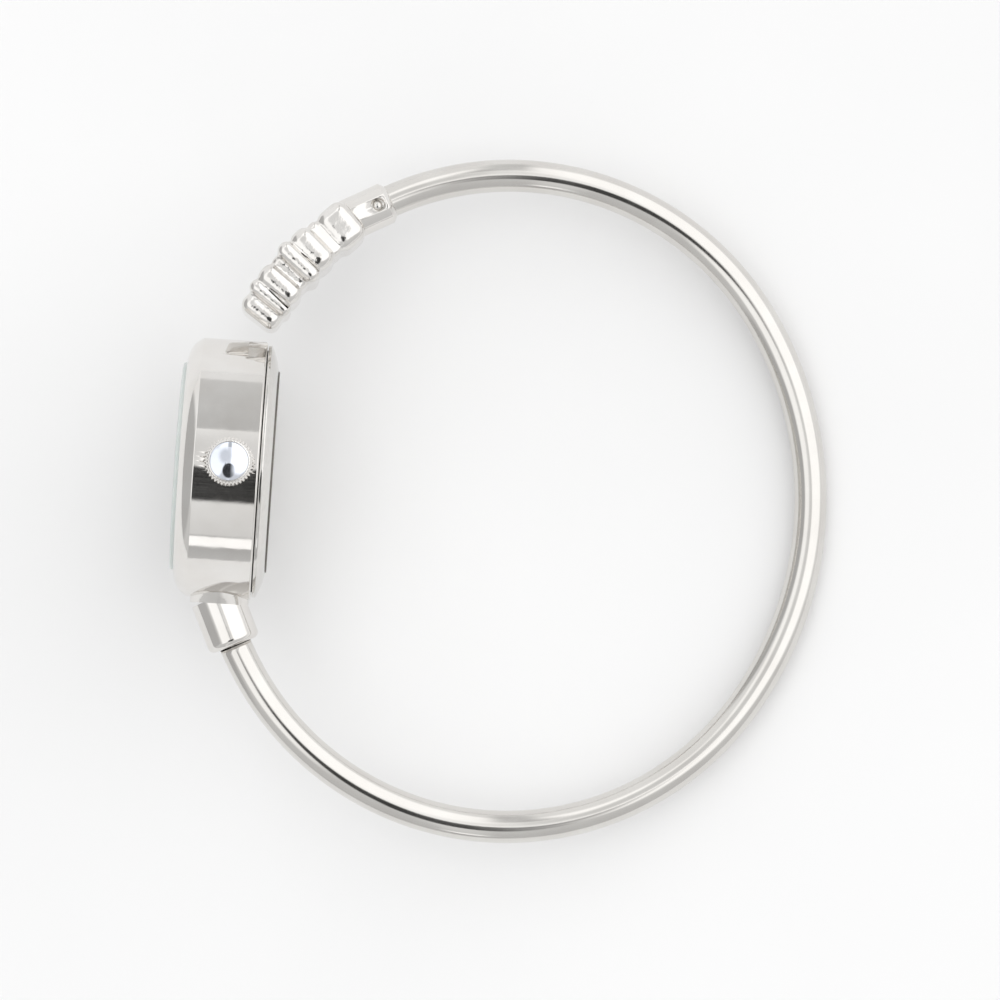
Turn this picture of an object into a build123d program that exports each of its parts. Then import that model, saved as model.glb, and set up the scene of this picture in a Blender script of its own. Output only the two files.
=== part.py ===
from build123d import *
from math import asin, atan, atan2, copysign, cos, degrees, hypot, pi, radians, sin, sqrt
import os

os.makedirs("parts", exist_ok=True)

# Every length is in millimetres and every angle in degrees.
# Levels are counted from the seam between case and back, towards the dial.
# Bearings on the hoop are counted from the case's axis, positive towards 12 o'clock.

# Hoop, on the centreline of its tube: an oval of four arcs
hoop_half_width = 30.3
hoop_half_depth = 28.15
hoop_roundness = 0.44
tube_radius = 1.5
tube_wall = 0.45

# Case: its axis stands a little towards 12 o'clock from the middle of the hoop
case_offset = 1.05
case_wall = 1.5
seam_inset = 4.8
flank_height = 5.85
bezel_height = 1.4
bezel_bulge = 0.34
bezel_lip = 0.2
edge_break = 0.12
ledge_width = 1.15
notch_bearing = 22.0
notch_width = 4.4
notch_height = 1.7
notch_depth = 0.5

# Crystal and its seal
bezel_width = 2.4
crystal_thickness = 1.35
crystal_proud = 0.35
crystal_chamfer = 0.12
crystal_seal = 0.25
seal_drop = 0.1

# Back, pressed into the bore, with its seal in the groove under the rim
back_bevel_width = 2.65
back_rim_inset = 0.3
back_groove = 0.3
back_height = 1.0
back_bulge = 0.12
back_step = 0.1
back_floor = 0.75
collar_height = 0.9
collar_wall = 0.7
collar_gap = 0.03
back_seal_width = 0.75

# Dial, markers and hands
dial_thickness = 0.4
dial_rim_gap = 0.3
foot_radius = 0.35
foot_length = 0.9
foot_inset = 1.3
foot_bearings = (45, 225)
marker_count = 12
marker_inset = 1.2
marker_length = 1.7
marker_width = 0.5
marker_height = 0.25
hand_clearance = 0.35
hand_thickness = 0.15
hour_hand_shortfall = 1.25
hour_hand_width = 0.8
minute_hand_reach_share = 0.72
minute_hand_width = 0.6
second_hand_excess = 0.15
second_hand_width = 0.2
hand_tail_share = 0.22
hour_bearing = 304.8
minute_bearing = 57.5
second_bearing = 210.0

# Crown, stem and crown tube
stem_level = 2.65
crown_travel = 0.8
crown_radius = 2.25
crown_length = 2.2
crown_gap = 0.3
crown_teeth = 44
crown_module = 0.1
crown_shoulder = 0.45
cap_radius = 1.72
cap_height = 0.3
cap_seat = 0.25
pipe_radius = 0.95
pipe_bore_radius = 0.62
pipe_stand = 1.7
ring_seal_width = 0.38
ring_seal_length = 0.4
ring_seal_inset = 0.1
stem_radius = 0.45
stem_square = 0.56
stem_pilot_radius = 0.25
stem_tip_gap = 0.61
stem_groove_radius = 0.28
square_overhang = 0.3
pilot_overhang = 0.4
running_gap = 0.03

# Movement: plate, bridge and the room between them
plate_rim = 0.7
spacer_width = 1.3
spacer_gap = 0.08
floor_level = 3.0
floor_thickness = 0.5
motion_room_radius = 5.2
motion_room_height = 0.6
bridge_level = 1.1
bridge_thickness = 0.4
overrun = 0.5

# Wheels
wheel_thickness = 0.2
pinion_thickness = 0.3
train_distance = 2.35
train_bearing = 60.0
pace_arbor_gap = 0.1
pace_bearing = 200.0
rotor_bearing = 215.0
motion_distance = 1.9
motion_bearing = 30.0
setting_bearing = -14.0
pinion_leaves = 8
centre_teeth = 64
third_teeth = 60
fourth_teeth = 48
fifth_teeth = 40
cannon_leaves = 10
minute_teeth = 30
hour_teeth = 32
setting_teeth = 16
clutch_teeth = 20
clutch_module = 0.1
arbor_radius = 0.15
seconds_arbor_radius = 0.12
cannon_radius = 0.34
hour_pipe_radius = 0.6
stud_radius = 0.15
fourth_wheel_level = 1.75
low_pinion_level = 1.7
upper_wheel_level = 2.2
upper_pinion_level = 2.15
centre_wheel_level = 2.7
centre_pinion_level = 2.65
motion_wheel_level = 3.58
tooth_tip_share = 0.8
tooth_root_share = 1.2
tooth_tip_half_share = 0.11
tooth_root_half_share = 0.2
pitch_turn = 360.0

# Step motor
magnet_radius = 0.8
magnet_height = 0.4
stator_hole_radius = 1.0
stator_ring_radius = 1.38
stator_thickness = 0.45
stator_neck = 1.33
coil_bearing = 207.0
core_width = 1.0
core_thickness = 0.4
core_level = 1.25
ear_radius = 0.7
ear_gap = 0.45
winding_radius = 0.85
winding_end_gap = 0.3
window_gap = 0.15

# Battery, circuit and quartz
battery_wheel_gap = 0.42
battery_rim_gap = 0.15
battery_cap_inset = 0.5
battery_height = 2.1
battery_rim_height = 1.8
battery_level = 0.55
battery_bearing = -65.0
clamp_thickness = 0.2
clamp_end_radius = 0.75
board_thickness = 0.2
board_inset = 0.6
board_width = 5.4
board_start = 32.0
board_end = 172.0
chip_size = 1.8
chip_height = 0.35
chip_bearing = 112.0
can_radius = 0.7
can_half_length = 2.5
can_level = 2.25
can_rim_gap = 1.3
can_bearing = 82.0

# Screws and posts
post_rim_gap = 0.1
bridge_screw_bearings = (30, 125, 163)
clamp_screw_bearings = (-35, -95)
screw_radius = 0.22
screw_head_radius = 0.45
screw_head_height = 0.3
screw_slot = 0.12
post_radius = 0.7
screw_gap = 0.03

# Keyless work: clutch, its yoke and the setting lever
clutch_radius = 1.1
clutch_groove_radius = 0.75
clutch_room = 1.0
clutch_length = 0.8
clutch_collar = 0.28
clutch_groove_width = 0.27
guide_gap = 0.55
guide_length = 0.35
guide_half_width = 1.0
pilot_reveal = 0.55
pilot_block_length = 0.6
pilot_block_half_width = 0.7
lever_guide_gap = 0.4
lever_room = 1.5
lever_arm = 2.2
lever_boss_radius = 0.62
lever_level = 1.75
lever_thickness = 0.3
lever_pin_radius = 0.15
lever_pin_height = 0.28
lever_stud_radius = 0.3
yoke_arm = 2.4
yoke_level = 2.5
yoke_thickness = 0.3
yoke_boss_radius = 0.5
yoke_stud_radius = 0.22
finger_thickness = 0.17
finger_tip = 0.82
finger_root = 1.25

# Socket at 6 o'clock
socket_stand = 2.9
barrel_radius = 2.45
barrel_length = 4.2
barrel_mouth = 1.45
barrel_round = 0.6
saddle_height = 0.5
saddle_half_width = 2.75
saddle_half_span = 4.9
saddle_waist_share = 0.2
tube_grip = 3.7
tube_fit = 0.05

# Terminal at 12 o'clock: sleeve, then lobes that follow the hoop
terminal_gap = 1.9
ornament_length = 13.2
ornament_depth = 4.7
ornament_span = 9.6
lobe_overlap = 0.3
lobe_straightening_share = 0.5
lobe_length_shares = (0.13, 0.08, 0.145, 0.08, 0.1, 0.165, 0.065, 0.235)
lobe_depth_shares = (0.86, 0.96, 0.93, 0.84, 1.0, 0.94, 0.83, 0.92)
lobe_span_shares = (0.66, 0.84, 0.9, 0.8, 1.0, 0.92, 0.76, 0.78)
lobe_round_shares = (0.38, 0.34, 0.22, 0.34, 0.3, 0.2, 0.38, 0.14)
sleeve_radius = 1.98
sleeve_length = 3.6
sleeve_chamfer = 0.25
sleeve_grip = 4.6
pin_reach = 1.15
pin_radius = 0.62
pin_sink = 0.35

# The movement is laid out from its middle: centre wheel, seconds wheel, then the pieces
# along the stem, and the room, plate, spacer, case and crystal follow outwards from those
quarter_turn = 90.0
half_turn = 180.0
centre_module = 2 * train_distance / (centre_teeth + pinion_leaves)
centre_tip_radius = centre_teeth * centre_module / 2 + tooth_tip_share * centre_module
pace_distance = centre_tip_radius + arbor_radius + pace_arbor_gap
fourth_module = 2 * pace_distance / (fourth_teeth + pinion_leaves)
fourth_tip_radius = fourth_teeth * fourth_module / 2 + tooth_tip_share * fourth_module
stem_tip = centre_tip_radius + stem_tip_gap
pilot_block_start = stem_tip + pilot_reveal
clutch_start = pilot_block_start + pilot_block_length + clutch_room
clutch_groove_start = clutch_start + clutch_collar
pilot_end = pilot_block_start + pilot_block_length + pilot_overhang
square_end = clutch_start + clutch_length + square_overhang
guide_start = clutch_start + clutch_length + guide_gap
stem_groove_reach = guide_start + guide_length + lever_guide_gap
room_radius = stem_groove_reach + lever_room
plate_radius = room_radius + plate_rim
bore_radius = plate_radius + spacer_width
case_radius = bore_radius + case_wall
crystal_radius = case_radius - bezel_width

# The oval's side arcs follow from its two half sizes and its end arcs
hoop_end_radius = hoop_half_depth - hoop_roundness * (hoop_half_width - hoop_half_depth)
hoop_side_radius = (
    hoop_half_width**2 + hoop_half_depth**2 - 2 * hoop_half_width * hoop_end_radius
) / (2 * (hoop_half_depth - hoop_end_radius))
end_centre = hoop_half_width - hoop_end_radius
side_centre = hoop_side_radius - hoop_half_depth
junction = degrees(atan(end_centre / side_centre))

# The watch lies on its side: the case's lower edge and the far side of the hoop touch the table
seam_reach = hoop_half_depth - seam_inset
bezel_level = flank_height + bezel_height
crystal_top = bezel_level + crystal_proud
crystal_level = crystal_top - crystal_thickness
rest_reach = hoop_half_depth + seam_reach
rest_tilt = atan2(case_radius, rest_reach) - asin(tube_radius / hypot(case_radius, rest_reach))
front_x = -(seam_reach + crystal_top) * cos(rest_tilt) - crystal_radius * sin(rest_tilt)
far_x = hoop_half_depth * cos(rest_tilt) + tube_radius
hoop_height = hoop_half_depth * sin(rest_tilt) + tube_radius

ring_plane = Plane(
    origin=(-(front_x + far_x) / 2, 0, hoop_height),
    x_dir=(cos(rest_tilt), 0, -sin(rest_tilt)),
    z_dir=(sin(rest_tilt), 0, cos(rest_tilt)),
)
dial_plane = Plane(
    origin=ring_plane.from_local_coords((-seam_reach, case_offset, 0)),
    x_dir=ring_plane.z_dir,
    z_dir=-ring_plane.x_dir,
)
section_plane = Plane(dial_plane.origin, x_dir=dial_plane.x_dir, z_dir=-dial_plane.y_dir)
dial_axis = Axis(dial_plane.origin, dial_plane.z_dir)
stem_plane = Plane(
    dial_plane.offset(stem_level).origin,
    x_dir=dial_plane.y_dir,
    z_dir=dial_plane.x_dir,
)
stem_section = Plane(stem_plane.origin, x_dir=stem_plane.x_dir, z_dir=-stem_plane.y_dir)
stem_axis = Axis(stem_plane.origin, stem_plane.z_dir)


def polar(reach, bearing):
    """Point in a plane at this distance from its origin and this angle from its x axis."""
    return (reach * cos(radians(bearing)), reach * sin(radians(bearing)))


def beyond(start, reach, bearing):
    """Point this far from another point, at this angle."""
    step = polar(reach, bearing)
    return (start[0] + step[0], start[1] + step[1])


def at_level(level):
    """Plane across the case at this level."""
    return dial_plane.offset(level)


def save(piece, name):
    """Label a finished piece and write it to its own file."""
    piece.part.label = name
    export_step(piece.part, f"parts/{name}.step")


def hoop_bearing(y):
    """Bearing at which the hoop's case side stands this far towards 12 o'clock."""
    if abs(y) < hoop_side_radius * sin(radians(junction)):
        return degrees(asin(y / hoop_side_radius))
    return copysign(degrees(asin((abs(y) - end_centre) / hoop_end_radius)), y)


def walk(bearing, distance):
    """Bearing reached from a bearing on the case's side, after this distance along the hoop."""
    to_junction = radians(max(junction - bearing, 0)) * hoop_side_radius
    if distance < to_junction:
        return bearing + degrees(distance / hoop_side_radius)
    return max(junction, bearing) + degrees((distance - to_junction) / hoop_end_radius)


def hoop_point(bearing):
    """Place on the hoop's centreline, in the hoop's plane."""
    turn = radians(bearing)
    if abs(bearing) < junction:
        return (side_centre - hoop_side_radius * cos(turn), hoop_side_radius * sin(turn))
    return (
        -hoop_end_radius * cos(turn),
        copysign(1, bearing) * end_centre + hoop_end_radius * sin(turn),
    )


def hoop_onward(bearing):
    """Direction of the hoop's centreline at a bearing, towards greater bearings."""
    turn = radians(bearing)
    return ring_plane.x_dir * sin(turn) + ring_plane.y_dir * cos(turn)


def hoop_along(bearing):
    """Plane of the hoop, moved to a bearing, with x along the centreline."""
    place = ring_plane.from_local_coords(hoop_point(bearing))
    return Plane(place, x_dir=hoop_onward(bearing), z_dir=ring_plane.z_dir)


def hoop_across(bearing):
    """Plane square to the centreline at a bearing, with y along the hoop's normal."""
    place = ring_plane.from_local_coords(hoop_point(bearing))
    side = hoop_onward(bearing).cross(ring_plane.z_dir)
    return Plane(place, x_dir=side, z_dir=hoop_onward(bearing))


def toothed_outline(plane, teeth, module, turn, place=(0, 0)):
    """Wheel outline with straight-flanked teeth, one of them at the angle of turn."""
    pitch_radius = teeth * module / 2
    tip = pitch_radius + tooth_tip_share * module
    root = pitch_radius - tooth_root_share * module
    pitch = pitch_turn / teeth
    corners = []
    for tooth in range(teeth):
        middle = turn + tooth * pitch
        corners.append(beyond(place, root, middle - tooth_root_half_share * pitch))
        corners.append(beyond(place, tip, middle - tooth_tip_half_share * pitch))
        corners.append(beyond(place, tip, middle + tooth_tip_half_share * pitch))
        corners.append(beyond(place, root, middle + tooth_root_half_share * pitch))
    with BuildSketch(plane) as outline:
        with BuildLine():
            Polyline(*corners, close=True)
        make_face()
    return outline.sketch


def meshed_turn(turn, teeth, other_teeth, bearing):
    """Turn of the other wheel, at this bearing, whose gap takes the first wheel's tooth."""
    lead = (turn - bearing) * teeth / pitch_turn
    return bearing + pitch_turn / 2 + (0.5 - lead) * pitch_turn / other_teeth


def round_outline(plane, radius, place=(0, 0), hole=0.0):
    """Disc or washer at a place in a plane."""
    with BuildSketch(plane) as outline:
        with Locations(place):
            Circle(radius)
            if hole:
                Circle(hole, mode=Mode.SUBTRACT)
    return outline.sketch


def strap_outline(plane, *ends):
    """Flat strap drawn round its round ends, each given as its place and radius."""
    with BuildSketch(plane) as outline:
        for place, radius in ends:
            with Locations(place):
                Circle(radius)
        make_hull()
    return outline.sketch


# Case middle, turned from bar: flank, domed bezel, crystal seat and dial ledge
seat_radius = crystal_radius + crystal_seal
opening_radius = bore_radius - ledge_width
plate_top = floor_level + floor_thickness + motion_room_height
dial_top = plate_top + dial_thickness
with BuildPart() as mid_case:
    with BuildSketch(section_plane):
        with BuildLine():
            Polyline(
                (bore_radius, 0),
                (case_radius - edge_break, 0),
                (case_radius, edge_break),
                (case_radius, flank_height),
            )
            SagittaArc(
                (case_radius, flank_height),
                (seat_radius + bezel_lip, bezel_level),
                bezel_bulge,
            )
            Polyline(
                (seat_radius + bezel_lip, bezel_level),
                (seat_radius, bezel_level),
                (seat_radius, crystal_level),
                (opening_radius, crystal_level),
                (opening_radius, dial_top),
                (bore_radius, dial_top),
                (bore_radius, 0),
            )
        make_face()
    revolve(axis=dial_axis)
    with BuildSketch(dial_plane.offset(-overrun)):
        with PolarLocations(case_radius, 1, start_angle=quarter_turn - notch_bearing):
            Rectangle(2 * notch_depth, notch_width)
    extrude(amount=notch_height + overrun, mode=Mode.SUBTRACT)
    with BuildSketch(stem_plane):
        Circle(pipe_radius)
    extrude(amount=case_radius + overrun, mode=Mode.SUBTRACT)
save(mid_case, "mid_case")

# Flat crystal with a narrow chamfer, on the ledge inside its seal
with BuildPart() as crystal:
    with BuildSketch(at_level(crystal_level)):
        Circle(crystal_radius)
    extrude(amount=crystal_thickness)
    chamfer(crystal.edges().sort_by(dial_axis)[-1], crystal_chamfer)
save(crystal, "crystal")

with BuildPart() as crystal_gasket:
    with BuildSketch(at_level(crystal_level)):
        Circle(seat_radius)
        Circle(crystal_radius, mode=Mode.SUBTRACT)
    extrude(amount=bezel_level - seal_drop - crystal_level)
save(crystal_gasket, "crystal_gasket")

# Snap-on back: bevelled rim, raised flat middle and a collar that presses into the bore
back_flat_radius = case_radius - back_bevel_width
back_rim_radius = case_radius - back_rim_inset
collar_radius = bore_radius - collar_gap
back_outside = -back_groove - back_height
with BuildPart() as case_back:
    with BuildSketch(section_plane):
        with BuildLine():
            Polyline(
                (0, back_outside + back_floor),
                (0, back_outside),
                (back_flat_radius, back_outside),
                (back_flat_radius, back_outside + back_step),
            )
            SagittaArc(
                (back_flat_radius, back_outside + back_step),
                (back_rim_radius, -back_groove - edge_break),
                -back_bulge,
            )
            Polyline(
                (back_rim_radius, -back_groove - edge_break),
                (back_rim_radius, -back_groove),
                (collar_radius, -back_groove),
                (collar_radius, collar_height),
                (collar_radius - collar_wall, collar_height),
                (collar_radius - collar_wall, back_outside + back_floor),
                (0, back_outside + back_floor),
            )
        make_face()
    revolve(axis=dial_axis)
save(case_back, "case_back")

with BuildPart() as case_back_gasket:
    with BuildSketch(at_level(-back_groove)):
        Circle(collar_radius + back_seal_width)
        Circle(collar_radius, mode=Mode.SUBTRACT)
    extrude(amount=back_groove)
save(case_back_gasket, "case_back_gasket")

# Dial with two feet, held between the plate and the ledge
foot_reach = plate_radius - foot_inset
dial_hole_radius = hour_pipe_radius + stud_radius
with BuildPart() as dial:
    with BuildSketch(at_level(plate_top)):
        Circle(bore_radius - dial_rim_gap)
        Circle(dial_hole_radius, mode=Mode.SUBTRACT)
    extrude(amount=dial_thickness)
    for bearing in foot_bearings:
        extrude(round_outline(at_level(plate_top), foot_radius, polar(foot_reach, bearing)), -foot_length)
save(dial, "dial")

marker_reach = opening_radius - marker_inset - marker_length / 2
with BuildPart() as hour_markers:
    with BuildSketch(at_level(dial_top)):
        with PolarLocations(marker_reach, marker_count):
            Rectangle(marker_length, marker_width)
    extrude(amount=marker_height)
    chamfer(hour_markers.faces().filter_by(dial_axis).group_by(dial_axis)[-1].edges(), marker_height / 3)
save(hour_markers, "hour_markers")

# Hands: each hub sits on its own arbor or pipe
hour_hand_length = marker_reach - marker_length / 2 - hour_hand_shortfall
minute_hand_length = marker_reach + marker_length * (minute_hand_reach_share - 0.5)
second_hand_length = marker_reach + marker_length / 2 + second_hand_excess
hour_hand_level = dial_top + hand_clearance
minute_hand_level = hour_hand_level + hand_clearance
second_hand_level = minute_hand_level + hand_clearance


def hand(level, bearing, length, width, hub_radius, hole_radius):
    """Hand lying at a level, its tip at a bearing clockwise from 12 o'clock."""
    heading = quarter_turn - bearing
    tail = polar(-length * hand_tail_share, heading)
    with BuildPart() as blade:
        extrude(
            strap_outline(at_level(level), (tail, width / 2), (polar(length, heading), width / 4)),
            hand_thickness,
        )
        extrude(round_outline(at_level(level), hub_radius), hand_thickness)
        extrude(round_outline(at_level(level), hole_radius), hand_thickness, mode=Mode.SUBTRACT)
    return blade


hour_hand = hand(
    hour_hand_level,
    hour_bearing,
    hour_hand_length,
    hour_hand_width,
    hour_pipe_radius + hour_hand_width / 3,
    hour_pipe_radius,
)
save(hour_hand, "hour_hand")
minute_hand = hand(
    minute_hand_level,
    minute_bearing,
    minute_hand_length,
    minute_hand_width,
    cannon_radius + minute_hand_width / 2,
    cannon_radius,
)
save(minute_hand, "minute_hand")
second_hand = hand(
    second_hand_level,
    second_bearing,
    second_hand_length,
    second_hand_width,
    seconds_arbor_radius + second_hand_width * 2,
    seconds_arbor_radius,
)
save(second_hand, "second_hand")

# Places of the arbors, as seen from the dial side
third_place = polar(train_distance, train_bearing)
fifth_place = polar(pace_distance, pace_bearing)
third_module = 2 * train_distance / (third_teeth + pinion_leaves)
fifth_module = fourth_module
rotor_distance = (fifth_teeth + pinion_leaves) * fifth_module / 2
rotor_place = beyond(fifth_place, rotor_distance, rotor_bearing)
motion_place = polar(motion_distance, motion_bearing)
cannon_module = 2 * motion_distance / (cannon_leaves + minute_teeth)
hour_module = 2 * motion_distance / (hour_teeth + pinion_leaves)
setting_distance = (minute_teeth + setting_teeth) * cannon_module / 2
setting_place = beyond(motion_place, setting_distance, setting_bearing)

# Phases that leave every pair in mesh with the hands as set
fourth_turn = quarter_turn - second_bearing
fourth_pinion_turn = fourth_turn
third_turn = meshed_turn(fourth_pinion_turn, pinion_leaves, third_teeth, train_bearing)
centre_turn = quarter_turn - minute_bearing
third_pinion_turn = meshed_turn(centre_turn, centre_teeth, pinion_leaves, train_bearing)
fifth_pinion_turn = meshed_turn(fourth_turn, fourth_teeth, pinion_leaves, pace_bearing)
fifth_turn = fifth_pinion_turn
rotor_turn = meshed_turn(fifth_turn, fifth_teeth, pinion_leaves, rotor_bearing)
minute_turn = meshed_turn(centre_turn, cannon_leaves, minute_teeth, motion_bearing)
hour_turn = quarter_turn - hour_bearing
minute_pinion_turn = meshed_turn(hour_turn, hour_teeth, pinion_leaves, motion_bearing)
setting_turn = meshed_turn(minute_turn, minute_teeth, setting_teeth, setting_bearing)

arbor_start = bridge_level + running_gap
arbor_end = floor_level + floor_thickness - 2 * running_gap
arbor_length = arbor_end - arbor_start
motion_pinion_level = motion_wheel_level + wheel_thickness
hour_wheel_level = motion_pinion_level + 3 * running_gap

with BuildPart() as rotor:
    extrude(round_outline(at_level(arbor_start), arbor_radius, rotor_place), arbor_length)
    extrude(round_outline(at_level(low_pinion_level), magnet_radius, rotor_place), magnet_height)
    extrude(
        toothed_outline(
            at_level(upper_pinion_level), pinion_leaves, fifth_module, rotor_turn, rotor_place
        ),
        pinion_thickness,
    )
save(rotor, "rotor")

with BuildPart() as fifth_wheel:
    extrude(round_outline(at_level(arbor_start), arbor_radius, fifth_place), arbor_length)
    extrude(
        toothed_outline(
            at_level(low_pinion_level), pinion_leaves, fourth_module, fifth_pinion_turn, fifth_place
        ),
        pinion_thickness,
    )
    extrude(
        toothed_outline(at_level(upper_wheel_level), fifth_teeth, fifth_module, fifth_turn, fifth_place),
        wheel_thickness,
    )
save(fifth_wheel, "fifth_wheel")

# The seconds wheel's arbor runs up through the centre wheel to the seconds hand
with BuildPart() as fourth_wheel:
    extrude(
        round_outline(at_level(arbor_start), seconds_arbor_radius),
        second_hand_level + hand_thickness - arbor_start,
    )
    extrude(
        toothed_outline(at_level(fourth_wheel_level), fourth_teeth, fourth_module, fourth_turn),
        wheel_thickness,
    )
    extrude(
        toothed_outline(
            at_level(upper_pinion_level), pinion_leaves, third_module, fourth_pinion_turn
        ),
        pinion_thickness,
    )
save(fourth_wheel, "fourth_wheel")

with BuildPart() as third_wheel:
    extrude(round_outline(at_level(arbor_start), arbor_radius, third_place), arbor_length)
    extrude(
        toothed_outline(at_level(upper_wheel_level), third_teeth, third_module, third_turn, third_place),
        wheel_thickness,
    )
    extrude(
        toothed_outline(
            at_level(centre_pinion_level), pinion_leaves, centre_module, third_pinion_turn, third_place
        ),
        pinion_thickness,
    )
save(third_wheel, "third_wheel")

# Centre wheel below the plate, cannon pinion above it, and the pipe that carries the minute hand
with BuildPart() as centre_wheel:
    extrude(
        round_outline(at_level(centre_wheel_level), cannon_radius),
        minute_hand_level + hand_thickness - centre_wheel_level,
    )
    extrude(
        toothed_outline(at_level(centre_wheel_level), centre_teeth, centre_module, centre_turn),
        wheel_thickness,
    )
    extrude(
        toothed_outline(at_level(motion_wheel_level), cannon_leaves, cannon_module, centre_turn),
        wheel_thickness,
    )
    extrude(
        round_outline(at_level(centre_wheel_level), seconds_arbor_radius + running_gap),
        minute_hand_level + hand_thickness - centre_wheel_level,
        mode=Mode.SUBTRACT,
    )
save(centre_wheel, "centre_wheel")

with BuildPart() as minute_wheel:
    extrude(
        toothed_outline(
            at_level(motion_wheel_level), minute_teeth, cannon_module, minute_turn, motion_place
        ),
        wheel_thickness,
    )
    extrude(
        toothed_outline(
            at_level(motion_pinion_level), pinion_leaves, hour_module, minute_pinion_turn, motion_place
        ),
        pinion_thickness - running_gap,
    )
    extrude(
        round_outline(at_level(motion_wheel_level), stud_radius + running_gap, motion_place),
        wheel_thickness + pinion_thickness,
        mode=Mode.SUBTRACT,
    )
save(minute_wheel, "minute_wheel")

with BuildPart() as hour_wheel:
    extrude(
        toothed_outline(at_level(hour_wheel_level), hour_teeth, hour_module, hour_turn),
        wheel_thickness - running_gap,
    )
    extrude(
        round_outline(at_level(hour_wheel_level), hour_pipe_radius),
        hour_hand_level + hand_thickness - hour_wheel_level,
    )
    extrude(
        round_outline(at_level(hour_wheel_level), cannon_radius + 2 * running_gap),
        hour_hand_level + hand_thickness - hour_wheel_level,
        mode=Mode.SUBTRACT,
    )
save(hour_wheel, "hour_wheel")

with BuildPart() as setting_wheel:
    extrude(
        toothed_outline(
            at_level(motion_wheel_level), setting_teeth, cannon_module, setting_turn, setting_place
        ),
        wheel_thickness,
    )
    extrude(
        round_outline(at_level(motion_wheel_level), stud_radius + running_gap, setting_place),
        wheel_thickness,
        mode=Mode.SUBTRACT,
    )
save(setting_wheel, "setting_wheel")

# Places of the remaining pieces of the movement
battery_room = room_radius - battery_rim_gap - battery_wheel_gap - fourth_tip_radius
battery_radius = battery_room / 2
battery_place = polar(room_radius - battery_rim_gap - battery_radius, battery_bearing)
coil_reach = hypot(*rotor_place) + stator_neck + winding_radius
coil_place = polar(coil_reach, coil_bearing)
coil_heading = coil_bearing + quarter_turn
core_half_length = sqrt((room_radius - ear_radius - ear_gap) ** 2 - coil_reach**2)
winding_half_length = core_half_length - ear_radius - winding_end_gap
ear_places = [beyond(coil_place, side * core_half_length, coil_heading) for side in (-1, 1)]
can_place = polar(room_radius - can_rim_gap - can_radius, can_bearing)
screw_reach = room_radius - post_radius - post_rim_gap
bridge_screw_places = [polar(screw_reach, bearing) for bearing in bridge_screw_bearings]
clamp_screw_places = [polar(screw_reach, bearing) for bearing in clamp_screw_bearings]
bridge_top = bridge_level + bridge_thickness
stator_level = core_level + core_thickness
lever_place = (stem_groove_reach + crown_travel / 2, -lever_arm)
yoke_place = (clutch_groove_start + clutch_groove_width / 2, yoke_arm + finger_tip)
screw_hole = screw_radius + screw_gap

# Main plate: floor, raised rim for the dial, lower rim and posts for the bridge,
# studs, and the two blocks that guide the stem
with BuildPart() as main_plate:
    extrude(round_outline(at_level(bridge_top), plate_radius), plate_top - bridge_top)
    extrude(
        round_outline(at_level(bridge_top), room_radius),
        floor_level - bridge_top,
        mode=Mode.SUBTRACT,
    )
    extrude(
        round_outline(at_level(floor_level + floor_thickness), motion_room_radius),
        motion_room_height,
        mode=Mode.SUBTRACT,
    )
    for place in bridge_screw_places + clamp_screw_places:
        extrude(round_outline(at_level(floor_level), post_radius, place), bridge_top - floor_level)
    for place in ear_places:
        extrude(
            round_outline(at_level(floor_level), ear_radius, place),
            stator_level + stator_thickness - floor_level,
        )
    with BuildSketch(stem_plane.offset(guide_start)):
        Rectangle(2 * guide_half_width, 2 * (floor_level - stem_level))
        Rectangle(
            2 * guide_half_width,
            stem_level - bridge_top,
            align=(Align.CENTER, Align.MAX),
        )
    extrude(amount=guide_length)
    with BuildSketch(stem_plane.offset(pilot_block_start)):
        Rectangle(
            2 * pilot_block_half_width,
            floor_level - stem_level,
            align=(Align.CENTER, Align.MIN),
        )
        Rectangle(
            2 * pilot_block_half_width,
            2 * stem_pilot_radius,
            align=(Align.CENTER, Align.MAX),
        )
    extrude(amount=pilot_block_length)
    for place in (motion_place, setting_place):
        extrude(
            round_outline(at_level(floor_level + floor_thickness), stud_radius, place),
            motion_room_height - 2 * running_gap,
        )
    extrude(round_outline(at_level(floor_level), lever_stud_radius, lever_place), lever_level - floor_level)
    extrude(round_outline(at_level(floor_level), yoke_stud_radius, yoke_place), yoke_level - floor_level)
    for place in (third_place, fifth_place, rotor_place):
        extrude(
            round_outline(at_level(floor_level), arbor_radius + running_gap, place),
            floor_thickness,
            mode=Mode.SUBTRACT,
        )
    extrude(
        round_outline(at_level(floor_level), cannon_radius + running_gap),
        floor_thickness,
        mode=Mode.SUBTRACT,
    )
    for bearing in foot_bearings:
        extrude(
            round_outline(at_level(plate_top), foot_radius + running_gap, polar(foot_reach, bearing)),
            -foot_length - running_gap,
            mode=Mode.SUBTRACT,
        )
    for place in bridge_screw_places + clamp_screw_places + ear_places:
        extrude(
            round_outline(at_level(bridge_top), screw_hole, place),
            floor_level - bridge_top,
            mode=Mode.SUBTRACT,
        )
    with BuildSketch(stem_plane.offset(pilot_block_start - overrun)):
        Circle(stem_pilot_radius + running_gap)
    extrude(amount=pilot_block_length + overrun, mode=Mode.SUBTRACT)
    with BuildSketch(stem_plane.offset(guide_start)):
        Circle(stem_radius + running_gap)
    extrude(amount=plate_radius, mode=Mode.SUBTRACT)
    with BuildSketch(at_level(floor_level)):
        with Locations((pilot_block_start + pilot_block_length, 0)):
            Rectangle(
                guide_start - pilot_block_start - pilot_block_length,
                2 * (clutch_radius + running_gap + overrun / 2),
                align=(Align.MIN, Align.CENTER),
            )
    extrude(amount=floor_thickness + motion_room_height, mode=Mode.SUBTRACT)
save(main_plate, "main_plate")

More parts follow.
